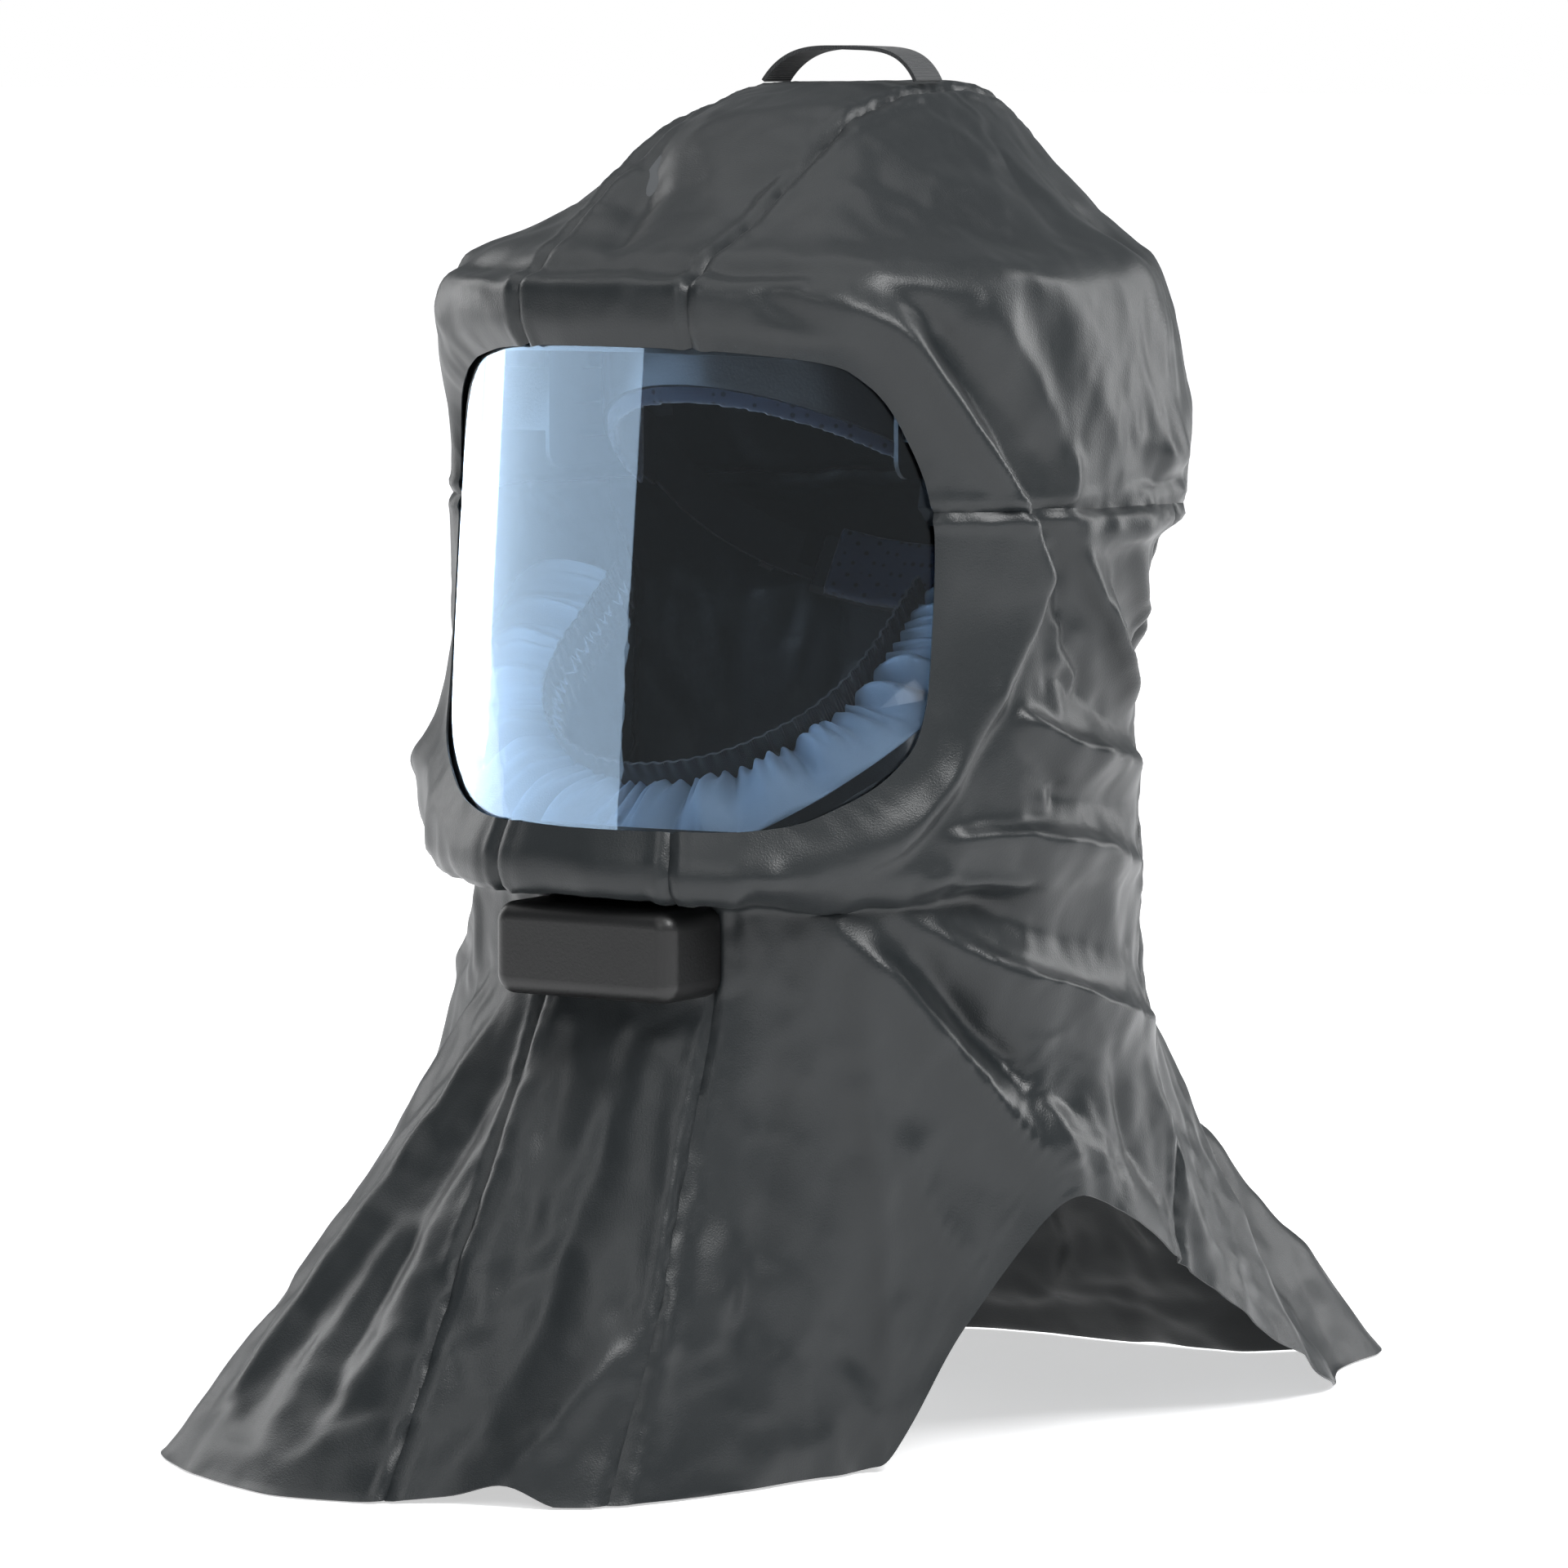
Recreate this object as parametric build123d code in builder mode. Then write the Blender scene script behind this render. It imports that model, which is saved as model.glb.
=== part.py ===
from build123d import *

import os
from math import cos, pi, radians, sin, tan

# Powered air respirator headtop: a long soft hood with a curved visor, an adjustable head
# harness, an over-the-head air duct with a swivel hose coupling, and an exhalation valve.
#
# Frame: origin on the floor at the middle of the footprint, +Z up, the wearer faces -Y and the
# wearer's left hand is at +X. Units are millimetres.

os.makedirs("parts", exist_ok=True)

# ---------------------------------------------------------------- driving dimensions
FABRIC = 2.0  # wall of the modelled cloth
SEAM_X = 39.0  # the centre strip is two of these wide
NECK_SEAM_Z = 385.0  # cross seam between the hood's top and its skirt
SHOULDER_Y = 45.0  # seam between the side skirts and the back cape
ARCH_END_Y = 200.0  # where a shoulder cut-out meets the floor at the back

HEM_FRONT = 277.0  # reach of the bib's hem in front
NECK_FRONT, NECK_HALF = 143.0, 139.0  # the neck's cross-section, where the valve sits

# Cross-sections of the hood, from the hem up: height, reach to -X, reach to +X, reach to the
# front, reach to the back, and how square the front-left, front-right and back corners are.
HOOD_LEVELS = [
    (0, 172, 160, HEM_FRONT, 281, 3.2, 1.35, 2.2),
    (50, 174, 170, 236, 230, 2.8, 1.6, 2.2),
    (100, 168, 174, 202, 182, 2.4, 1.9, 2.2),
    (160, 148, 148, 165, 132, 2.1, 2.0, 2.0),
    (190, 139, 139, NECK_FRONT, 119, 2.0, 2.0, 2.0),
    (238, 139, 139, NECK_FRONT, 116, 2.0, 2.0, 2.0),
    (244, 139, 139, 173, 116, 2.0, 2.0, 2.0),
    (282, 139, 139, 169, 118, 2.0, 2.0, 2.0),
    (340, 140, 140, 164, 135, 2.0, 2.0, 2.0),
    (411, 141, 141, 158, 183, 2.0, 2.0, 2.0),
    (450, 138, 138, 155, 176, 2.2, 2.2, 2.0),
    (490, 131, 131, 160, 160, 2.8, 2.8, 2.0),
    (505, 106, 106, 128, 152, 2.0, 2.0, 2.0),
    (525, 80, 80, 88, 146, 2.0, 2.0, 2.0),
    (541, 54, 54, 56, 130, 2.2, 2.2, 2.2),
    (552, 34, 34, 24, 96, 2.4, 2.4, 2.4),
]
LEVEL_POINTS = 32

# Visor: an elliptical cylinder that leans forward at its foot.
VISOR_MID_Z = 341.0
VISOR_LEAN = 5.0
LENS_A, LENS_B, LENS_T = 137.0, 164.0, 1.2
WINDOW_HALF, WINDOW_TOP, WINDOW_BOTTOM = 118.0, 97.0, -97.0
CHAMFER_X, CHAMFER_H = 82.0, -60.0
LENS_MARGIN = 10.0
SLEEVE_T = 8.0

# Head harness
BAND_A, BAND_T = 80.0, 1.8
BROW_Y, BROW_Z = -98.0, 446.0
TEMPLE_Z = 400.0
NAPE_TILT = 32.0
ARM_STRAIGHT = 29.0
DEPTH_TRAVEL = 8.0

# Ratchet: pinion of module 1 between two curved racks
PINION_TEETH, MODULE = 8, 1.0
RACK_R = 83.0
RACK_T = 1.6
PITCH_R = PINION_TEETH * MODULE / 2

# Air duct, an elliptical sweep over the head
DUCT_Y, DUCT_Z = 14.0, 400.0
DUCT_A, DUCT_B = 143.0, 142.0
DUCT_DEPTH, DUCT_WIDTH, DUCT_WALL = 13.0, 62.0, 1.5
DUCT_REAR_Z, DUCT_FRONT_Y = 430.0, -108.0

# Hose inlet
INLET_Y, INLET_Z, INLET_DIP = 158.0, 374.0, 34.0
HOSE_BORE_R = 15.0
JOURNAL_R, INLET_TUBE_R = 17.0, 19.0
RUNNING = 0.06  # radial clearance of a running fit

# Exhalation valve under the chin
VALVE_Z = 211.5
SEAT_R = 14.0
COVER_W, COVER_H, COVER_DEPTH, COVER_WALL = 85.0, 37.0, 30.0, 2.0
VALVE_SCREW_X = 34.0

visor_up = Plane(
    origin=(0, 0, VISOR_MID_Z),
    x_dir=(1, 0, 0),
    z_dir=(0, sin(radians(VISOR_LEAN)), cos(radians(VISOR_LEAN))),
)
visor_front = Plane(
    origin=(0, 0, VISOR_MID_Z),
    x_dir=(1, 0, 0),
    z_dir=(0, -cos(radians(VISOR_LEAN)), sin(radians(VISOR_LEAN))),
)
nape_down = (0, cos(radians(NAPE_TILT)), -sin(radians(NAPE_TILT)))
nape_plane = Plane(
    origin=(0, ARM_STRAIGHT * nape_down[1], TEMPLE_Z + ARM_STRAIGHT * nape_down[2]),
    x_dir=(1, 0, 0),
    z_dir=(0, sin(radians(NAPE_TILT)), cos(radians(NAPE_TILT))),
)
knob_plane = Plane(
    origin=nape_plane.from_local_coords((0, RACK_R, 0)),
    x_dir=(1, 0, 0),
    z_dir=nape_down,
)
inlet_plane = Plane(
    origin=(0, INLET_Y, INLET_Z),
    x_dir=(1, 0, 0),
    z_dir=(0, cos(radians(INLET_DIP)), -sin(radians(INLET_DIP))),
)
valve_plane = Plane(origin=(0, -NECK_FRONT, VALVE_Z), x_dir=(1, 0, 0), z_dir=(0, -1, 0))


def save(part, name):
    """Label a finished piece and write it as parts/NAME.step."""
    part.label = name
    export_step(part, f"parts/{name}.step")


# ---------------------------------------------------------------- the hood's cloth
WAIST_Z = 480.0  # above this the hood turns inwards and its wall is measured along Z


def level_points(level, inset):
    """Points round one cross-section of the hood, drawn in by inset."""
    _, left, right, front, back, front_left, front_right, rear = level
    points = []
    for i in range(LEVEL_POINTS):
        angle = 2 * pi * i / LEVEL_POINTS
        c, s = cos(angle), sin(angle)
        reach_x = (right if c > 0 else left) - inset
        reach_y = (back if s > 0 else front) - inset
        square = rear if s > 0 else (front_right if c > 0 else front_left)
        x = reach_x * abs(c) ** (2 / square) * (1 if c > 0 else -1)
        y = reach_y * abs(s) ** (2 / square) * (1 if s > 0 else -1)
        points.append((x, y))
    return points


def hood_form(inset, foot, lowered):
    """The solid space inside the hood, drawn in by inset, from z = foot."""
    with BuildPart() as form:
        for level in HOOD_LEVELS:
            height = level[0] if level[0] else foot
            height -= lowered if height > WAIST_Z else 0
            with BuildSketch(Plane.XY.offset(height)):
                with BuildLine():
                    Spline(*level_points(level, inset), periodic=True)
                make_face()
        loft(ruled=True)
    return form.part


def window_outline(side, top, bottom):
    """The visor's outline, widened by side, top and bottom; its lower corners are cut."""
    grow = min(side, bottom)
    points = [
        (-WINDOW_HALF - side, WINDOW_TOP + top),
        (-WINDOW_HALF - side, CHAMFER_H - grow / 2),
        (-CHAMFER_X - grow / 2, WINDOW_BOTTOM - bottom),
        (CHAMFER_X + grow / 2, WINDOW_BOTTOM - bottom),
        (WINDOW_HALF + side, CHAMFER_H - grow / 2),
        (WINDOW_HALF + side, WINDOW_TOP + top),
    ]
    with BuildSketch(visor_front) as outline:
        with BuildLine():
            Polyline(*points, close=True)
        make_face()
        fillet(outline.vertices().group_by(Axis.Z)[:-1], 12)
    return outline.sketch


def visor_wall(inner_grow, outer_grow, outline):
    """The part of the elliptical wall between two offsets of the lens, inside an outline."""
    with BuildPart() as wall:
        with BuildSketch(visor_up):
            Ellipse(LENS_A + outer_grow, LENS_B + outer_grow)
            Ellipse(LENS_A + inner_grow, LENS_B + inner_grow, mode=Mode.SUBTRACT)
        extrude(amount=160, both=True)
        extrude(outline, amount=LENS_B + 60, mode=Mode.INTERSECT)
    return wall.part


SLEEVE_SIDE, SLEEVE_TOP, SLEEVE_BOTTOM = 16.0, 41.0, 27.0
sleeve_outline = window_outline(SLEEVE_SIDE, SLEEVE_TOP, SLEEVE_BOTTOM)
sleeve_gap_outline = window_outline(SLEEVE_SIDE + 0.4, SLEEVE_TOP + 0.4, 12)

with BuildPart() as arch:
    with BuildSketch(Plane.YZ):
        with BuildLine():
            Spline((-95, -5), (-78, 40), (-46, 98), (0, 108), (SHOULDER_Y, 80), (120, 34), (ARCH_END_Y, -5))
            Line((ARCH_END_Y, -5), (-95, -5))
        make_face()
    extrude(amount=300, both=True)

with BuildPart() as hood_shell:
    add(hood_form(0, 0, 0))
    add(hood_form(FABRIC, -1, FABRIC), mode=Mode.SUBTRACT)
    add(arch.part, mode=Mode.SUBTRACT)
    extrude(sleeve_gap_outline, amount=300, mode=Mode.SUBTRACT)
    with Locations(inlet_plane):
        Cylinder(INLET_TUBE_R + 0.4, 60, mode=Mode.SUBTRACT)
    with Locations(valve_plane):
        Cylinder(SEAT_R + 0.2, 60, mode=Mode.SUBTRACT)
    with BuildSketch(valve_plane):
        with GridLocations(2 * VALVE_SCREW_X, 0, 2, 1):
            Circle(1.7)
    extrude(amount=30, both=True, mode=Mode.SUBTRACT)


def panel(low, high):
    """The hood's cloth inside one box, given by its lowest and highest corners."""
    size = [b - a for a, b in zip(low, high)]
    middle = Plane(origin=[(a + b) / 2 for a, b in zip(low, high)])
    with BuildPart() as cut:
        add(hood_shell.part)
        with Locations(middle):
            Box(*size, mode=Mode.INTERSECT)
    return cut.part


FAR = 400.0
save(panel((-SEAM_X, -FAR, NECK_SEAM_Z), (SEAM_X, FAR, FAR * 2)), "crown_panel")
save(panel((SEAM_X, -FAR, NECK_SEAM_Z), (FAR, FAR, FAR * 2)), "hood_side_left")
save(panel((-FAR, -FAR, NECK_SEAM_Z), (-SEAM_X, FAR, FAR * 2)), "hood_side_right")
save(panel((SEAM_X, -FAR, 0), (FAR, SHOULDER_Y, NECK_SEAM_Z)), "skirt_left")
save(panel((-FAR, -FAR, 0), (-SEAM_X, SHOULDER_Y, NECK_SEAM_Z)), "skirt_right")
save(panel((-FAR, SHOULDER_Y, 0), (FAR, FAR, NECK_SEAM_Z)), "cape_back")
save(panel((-SEAM_X, -FAR, 0), (SEAM_X, SHOULDER_Y, NECK_SEAM_Z)), "bib_center")

# Cloth sleeve round the visor, in four mitred lengths
sleeve = visor_wall(LENS_T + 0.2, LENS_T + SLEEVE_T, sleeve_outline)
window_cut = window_outline(0, 0, 0)
MITRE_X = WINDOW_HALF + SLEEVE_SIDE
sleeve_lengths = {
    "visor_brim": [(-MITRE_X, 97), (MITRE_X, 97), (MITRE_X, 160), (-MITRE_X, 160)],
    "visor_sleeve_left": [(60, 97), (160, 97), (160, -75), (100, -75), (60, 0)],
    "visor_sleeve_right": [(-60, 97), (-160, 97), (-160, -75), (-100, -75), (-60, 0)],
    "visor_sleeve_bottom": [
        (-60, 0), (-100, -75), (-160, -75), (-160, -160), (160, -160), (160, -75), (100, -75), (60, 0)
    ],
}
for name, corners in sleeve_lengths.items():
    with BuildSketch(visor_front) as mitre:
        with BuildLine():
            Polyline(*corners, close=True)
        make_face()
    with BuildPart() as sleeve_length:
        add(sleeve)
        extrude(window_cut, amount=300, mode=Mode.SUBTRACT)
        extrude(mitre.sketch, amount=300, mode=Mode.INTERSECT)
    save(sleeve_length.part, name)

# Webbing loop on the crown, sewn into the two crown seams
LOOP_Y, LOOP_FOOT_Z, LOOP_RISE, LOOP_WIDTH, LOOP_T = 26.0, 553.0, 13.5, 20.0, 1.6
with BuildPart() as hanging_loop:
    with BuildSketch(Plane.XZ.offset(-LOOP_Y)):
        with BuildLine() as loop_line:
            Spline(
                (-37, LOOP_FOOT_Z),
                (-22, LOOP_FOOT_Z + 0.85 * LOOP_RISE),
                (6, LOOP_FOOT_Z + LOOP_RISE),
                (26, LOOP_FOOT_Z + 0.8 * LOOP_RISE),
                (37, LOOP_FOOT_Z),
            )
        trace(line_width=LOOP_T)
    extrude(amount=LOOP_WIDTH / 2, both=True)
save(hanging_loop.part, "hanging_loop")

# ---------------------------------------------------------------- visor
lens_outline = window_outline(LENS_MARGIN, LENS_MARGIN, LENS_MARGIN)
save(visor_wall(0, LENS_T, lens_outline), "visor_lens")

with BuildPart() as visor_frame:
    add(visor_wall(-2.4, -0.1, lens_outline))
    extrude(window_outline(-4, -4, -4), amount=300, mode=Mode.SUBTRACT)
save(visor_frame.part, "visor_frame")

# ---------------------------------------------------------------- face seal
SEAL_CHIN_Y, SEAL_CHIN_Z, SEAL_RISE = -127.0, 275.0, 37.0
SEAL_HALF = 72.0
seal_plane = Plane(
    origin=(0, SEAL_CHIN_Y, SEAL_CHIN_Z),
    x_dir=(1, 0, 0),
    z_dir=(0, -sin(radians(SEAL_RISE)), cos(radians(SEAL_RISE))),
)


def seal_opening(grow):
    """The face opening in the seal: straight jaws and a round chin, widened by grow."""
    half = SEAL_HALF + grow
    with BuildSketch(seal_plane) as opening:
        with BuildLine():
            Line((-half, 200), (-half, half * 0.9 - grow))
            ThreePointArc((-half, half * 0.9 - grow), (0, -grow), (half, half * 0.9 - grow))
            Line((half, half * 0.9 - grow), (half, 200))
            Line((half, 200), (-half, 200))
        make_face()
    return opening.sketch


with BuildPart() as face_seal:
    with BuildSketch(seal_plane):
        with Locations((0, 35)):
            Rectangle(2 * LENS_A, 180)
    extrude(amount=1.5)
    with BuildSketch(visor_up):
        Ellipse(LENS_A - 4, LENS_B - 4)
    extrude(amount=200, both=True, mode=Mode.INTERSECT)
    extrude(seal_opening(1.6), amount=30, both=True, mode=Mode.SUBTRACT)
save(face_seal.part, "face_seal")

with BuildPart() as face_seal_band:
    extrude(seal_opening(1.5), amount=12, both=True)
    extrude(seal_opening(0), amount=30, both=True, mode=Mode.SUBTRACT)
    with BuildSketch(seal_plane):
        with Locations((0, 30)):
            Rectangle(300, 180)
    extrude(amount=30, both=True, mode=Mode.INTERSECT)
save(face_seal_band.part, "face_seal_band")

# ---------------------------------------------------------------- head harness
BAND_SLOPE = (BROW_Z - TEMPLE_Z) / -BROW_Y


def brow_wall(inner, outer, half_height, rear_y):
    """A vertical wall round the forehead between two offsets, cut to a sloping strip."""
    with BuildPart() as wall:
        with BuildSketch(Plane.XY.offset(300)):
            Ellipse(BAND_A + outer, -BROW_Y + outer)
            Ellipse(BAND_A + inner, -BROW_Y + inner, mode=Mode.SUBTRACT)
        extrude(amount=300)
        with BuildSketch(Plane.YZ):
            with BuildLine():
                Polyline(
                    (-130, TEMPLE_Z + 130 * BAND_SLOPE - half_height),
                    (rear_y, TEMPLE_Z - rear_y * BAND_SLOPE - half_height),
                    (rear_y, TEMPLE_Z - rear_y * BAND_SLOPE + half_height),
                    (-130, TEMPLE_Z + 130 * BAND_SLOPE + half_height),
                    close=True,
                )
            make_face()
        extrude(amount=200, both=True, mode=Mode.INTERSECT)
    return wall.part


ARM_END = 44.0  # angle from the nape at which a fixed arm stops


def nape_arc(inner, outer, start, stop, half_height, low=None):
    """A curved strip round the nape axis; angles are measured from the nape towards +X."""
    low = -half_height if low is None else low
    with BuildPart() as strip:
        with BuildSketch(nape_plane.offset(low)):
            with BuildLine():
                CenterArc((0, 0), outer, 90 - stop, stop - start)
                CenterArc((0, 0), inner, 90 - stop, stop - start)
                for angle in (start, stop):
                    a = radians(90 - angle)
                    Line((inner * cos(a), inner * sin(a)), (outer * cos(a), outer * sin(a)))
            make_face()
        extrude(amount=half_height - low)
    return strip.part


with BuildPart() as headband:
    add(brow_wall(0, BAND_T, 14, 0))
    for side in (-1, 1):
        with BuildSketch(nape_plane.offset(-10)):
            with Locations((side * (BAND_A + BAND_T / 2), -ARM_STRAIGHT / 2 - 4)):
                Rectangle(BAND_T, ARM_STRAIGHT + 8)
        extrude(amount=20)
        start, stop = (ARM_END, 90) if side > 0 else (-90, -ARM_END)
        add(nape_arc(BAND_A, BAND_A + BAND_T, start, stop, 10))
        # keeper that holds the sliding tail against the arm
        low, high = (50, 54) if side > 0 else (-54, -50)
        add(nape_arc(BAND_A + BAND_T, RACK_R + 3, low, high, 10.2, 8.6))
        add(nape_arc(BAND_A + BAND_T, RACK_R + 3, low, high, -8.6, -10.2))
        add(nape_arc(RACK_R + 1.4, RACK_R + 3, low, high, 10.2))
    for side in (-1, 1):
        with Locations(Location((side * BAND_A, -22, TEMPLE_Z + 10), (0, 90, 0))):
            Cylinder(2.1, 12, mode=Mode.SUBTRACT)
save(headband.part, "headband")

save(brow_wall(-3.6, -0.2, 20, -14), "sweatband")

# Curved tails with rack teeth, one above and one below the pinion
TAIL_NEAR, TAIL_FAR, TAIL_WIDE = -20.0, 68.0, 53.0
TOOTH_ANGLE = MODULE * pi / RACK_R * 180 / pi
RACK_TIP, RACK_ROOT, TAIL_EDGE = PITCH_R - 0.85, PITCH_R + 1.15, 8.4


def rack_gap_cutter(angle, side):
    """A wedge that cuts one gap between rack teeth, at an angle from the nape."""
    a = radians(90 - angle)
    outward = nape_plane.x_dir * cos(a) + nape_plane.y_dir * sin(a)
    along = nape_plane.x_dir * sin(a) - nape_plane.y_dir * cos(a)
    radial = Plane(origin=nape_plane.origin + outward * RACK_R, x_dir=along, z_dir=outward)
    up = -side  # a radial plane's own Y points down, against the nape plane's Z
    with BuildPart() as gap:
        with BuildSketch(radial):
            with BuildLine():
                Polyline(
                    (-1.22, up * (RACK_TIP - 0.5)),
                    (1.22, up * (RACK_TIP - 0.5)),
                    (0.62, up * RACK_ROOT),
                    (-0.62, up * RACK_ROOT),
                    close=True,
                )
            make_face()
        extrude(amount=3, both=True)
    return gap.part


def band_tail(side):
    """The sliding tail on one side: side is 1 for the wearer's left and -1 for the right."""
    inner, outer = RACK_R - RACK_T / 2, RACK_R + RACK_T / 2
    with BuildPart() as tail:
        if side > 0:
            add(nape_arc(inner, outer, TAIL_NEAR, TAIL_WIDE, TAIL_EDGE, RACK_TIP))
            add(nape_arc(inner, outer, TAIL_WIDE, TAIL_FAR, TAIL_EDGE))
        else:
            add(nape_arc(inner, outer, -TAIL_WIDE, -TAIL_NEAR, -RACK_TIP, -TAIL_EDGE))
            add(nape_arc(inner, outer, -TAIL_FAR, -TAIL_WIDE, TAIL_EDGE))
        for step in range(-8, 9):
            # at rest the pinion has one tooth pointing straight up and one straight down
            add(rack_gap_cutter(step * TOOTH_ANGLE, side), mode=Mode.SUBTRACT)
    return tail.part


save(band_tail(1), "band_tail_left")
save(band_tail(-1), "band_tail_right")

CRADLE_ANGLE = 38.0
KNOB_SHAFT_R = 3.0
with BuildPart() as nape_cradle:
    add(nape_arc(RACK_R - 4.4, RACK_R - 1.2, -CRADLE_ANGLE, CRADLE_ANGLE, 12))
    for low in (8.8, -12.0):
        add(nape_arc(RACK_R - 1.2, RACK_R + 1.2, -CRADLE_ANGLE, CRADLE_ANGLE, low + 3.2, low))
    with Locations(knob_plane):
        Cylinder(KNOB_SHAFT_R - 1 + RUNNING, 40, mode=Mode.SUBTRACT)
save(nape_cradle.part, "nape_cradle")

with BuildPart() as nape_cover:
    add(nape_arc(RACK_R + 1.3, RACK_R + 4.2, -CRADLE_ANGLE, CRADLE_ANGLE, 12))
    with Locations(knob_plane.offset(1.3)):
        Cylinder(15, 3.0, align=(Align.CENTER, Align.CENTER, Align.MIN))
    with Locations(knob_plane):
        Cylinder(KNOB_SHAFT_R + RUNNING, 40, mode=Mode.SUBTRACT)
save(nape_cover.part, "nape_cover")

save(nape_arc(RACK_R - 11, RACK_R - 4.5, -34, 34, 15), "nape_pad")

with BuildPart() as ratchet_pinion:
    with BuildSketch(knob_plane.offset(-1.05)):
        Circle(PITCH_R - 1.2)
        with PolarLocations(0, PINION_TEETH, start_angle=90):
            Polygon((2.0, -0.85), (PITCH_R - 0.1, -0.62), (PITCH_R + 0.85, -0.3),
                    (PITCH_R + 0.85, 0.3), (PITCH_R - 0.1, 0.62), (2.0, 0.85), align=None)
    extrude(amount=2.1)
    with BuildSketch(knob_plane.offset(1.05)):
        Circle(KNOB_SHAFT_R)
    extrude(amount=8.0)
    with BuildSketch(knob_plane.offset(-3.6)):
        Circle(KNOB_SHAFT_R - 1)
    extrude(amount=2.6)
    with Locations(knob_plane.offset(9.05)):
        Cylinder(1.0, 12, mode=Mode.SUBTRACT)
save(ratchet_pinion.part, "ratchet_pinion")

KNOB_R, KNOB_DEPTH = 17.0, 13.0
with BuildPart() as ratchet_knob:
    with BuildSketch(knob_plane.offset(4.6)):
        Circle(KNOB_R)
        with PolarLocations(KNOB_R + 1.2, 12):
            Circle(2.6, mode=Mode.SUBTRACT)
    extrude(amount=KNOB_DEPTH, taper=4)
    knob_axis = Axis(knob_plane.origin, knob_plane.z_dir)
    fillet(ratchet_knob.faces().sort_by(knob_axis)[-1].edges(), 0.8)
    with Locations(knob_plane.offset(4.6)):
        Cylinder(KNOB_SHAFT_R, 4.45, align=(Align.CENTER, Align.CENTER, Align.MIN), mode=Mode.SUBTRACT)
        Cylinder(1.1, 40, mode=Mode.SUBTRACT)
    with Locations(knob_plane.offset(13)):
        Cylinder(3.2, 20, align=(Align.CENTER, Align.CENTER, Align.MIN), mode=Mode.SUBTRACT)
save(ratchet_knob.part, "ratchet_knob")

with BuildPart() as knob_screw:
    with BuildSketch(knob_plane.offset(4.2)):
        Circle(1.0)
    extrude(amount=8.8)
    with BuildSketch(knob_plane.offset(13)):
        Circle(2.8)
    extrude(amount=1.8)
    with Locations(knob_plane.offset(14.0)):
        Box(0.8, 4.0, 3, mode=Mode.SUBTRACT)
        Box(4.0, 0.8, 3, mode=Mode.SUBTRACT)
save(knob_screw.part, "knob_screw")

# ---------------------------------------------------------------- side plates and crown strap
PLATE_X, PLATE_T = BAND_A + 3.0, 2.0


def side_plate(side):
    """Slotted plate at the temple, with an arm that carries the visor's frame."""
    with BuildPart() as plate:
        with BuildSketch(Plane.YZ.offset(side * PLATE_X)):
            with Locations((-42, TEMPLE_Z + 24)):
                RectangleRounded(62, 56, 8)
            with Locations((-34, TEMPLE_Z + 10), (-40, TEMPLE_Z + 24), (-34, TEMPLE_Z + 38)):
                SlotOverall(34, 5, mode=Mode.SUBTRACT)
        extrude(amount=side * PLATE_T)
        arm_from, arm_to = PLATE_X, 112.0
        with BuildSketch(Plane.XZ.offset(70)):
            with Locations((side * (arm_from + arm_to) / 2, TEMPLE_Z + 24)):
                Rectangle(arm_to - arm_from, 26)
        extrude(amount=-2.4)
        with Locations(Location((side * PLATE_X, -22, TEMPLE_Z + 10), (0, 90, 0))):
            Cylinder(2.1, 12, mode=Mode.SUBTRACT)
    return plate.part


save(side_plate(1), "side_plate_left")
save(side_plate(-1), "side_plate_right")

with BuildPart() as band_rivets:
    for side in (-1, 1):
        outward = Plane(origin=(side * BAND_A, -22, TEMPLE_Z + 10), x_dir=(0, 1, 0), z_dir=(side, 0, 0))
        with Locations(outward.offset(0.1)):
            Cylinder(2.0, 5.2, align=(Align.CENTER, Align.CENTER, Align.MIN))
        with Locations(outward.offset(PLATE_X - BAND_A + PLATE_T + 0.1)):
            Cylinder(4.0, 1.4, align=(Align.CENTER, Align.CENTER, Align.MIN))
save(band_rivets.part, "band_rivets")

STRAP_FOOT_Z, STRAP_TOP_Z, STRAP_WIDTH, STRAP_T = 414.0, 524.0, 20.0, 1.5
STRAP_Y = 6.0


def crown_strap(side, lap):
    """One half of the strap over the head; lap is how far it runs past the middle."""
    with BuildPart() as strap:
        with BuildSketch(Plane.XZ.offset(-STRAP_Y)):
            with Locations((0, STRAP_FOOT_Z)):
                Ellipse(BAND_A + 2.2 + STRAP_T, STRAP_TOP_Z - STRAP_FOOT_Z)
                Ellipse(BAND_A + 2.2, STRAP_TOP_Z - STRAP_FOOT_Z - STRAP_T, mode=Mode.SUBTRACT)
            with Locations((side * (60 - lap / 2), STRAP_FOOT_Z + 80)):
                Rectangle(120 + lap, 160, mode=Mode.INTERSECT)
        extrude(amount=STRAP_WIDTH / 2, both=True)
    return strap.part


save(crown_strap(1, -6), "crown_strap_left")
save(crown_strap(-1, -6), "crown_strap_right")

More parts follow.
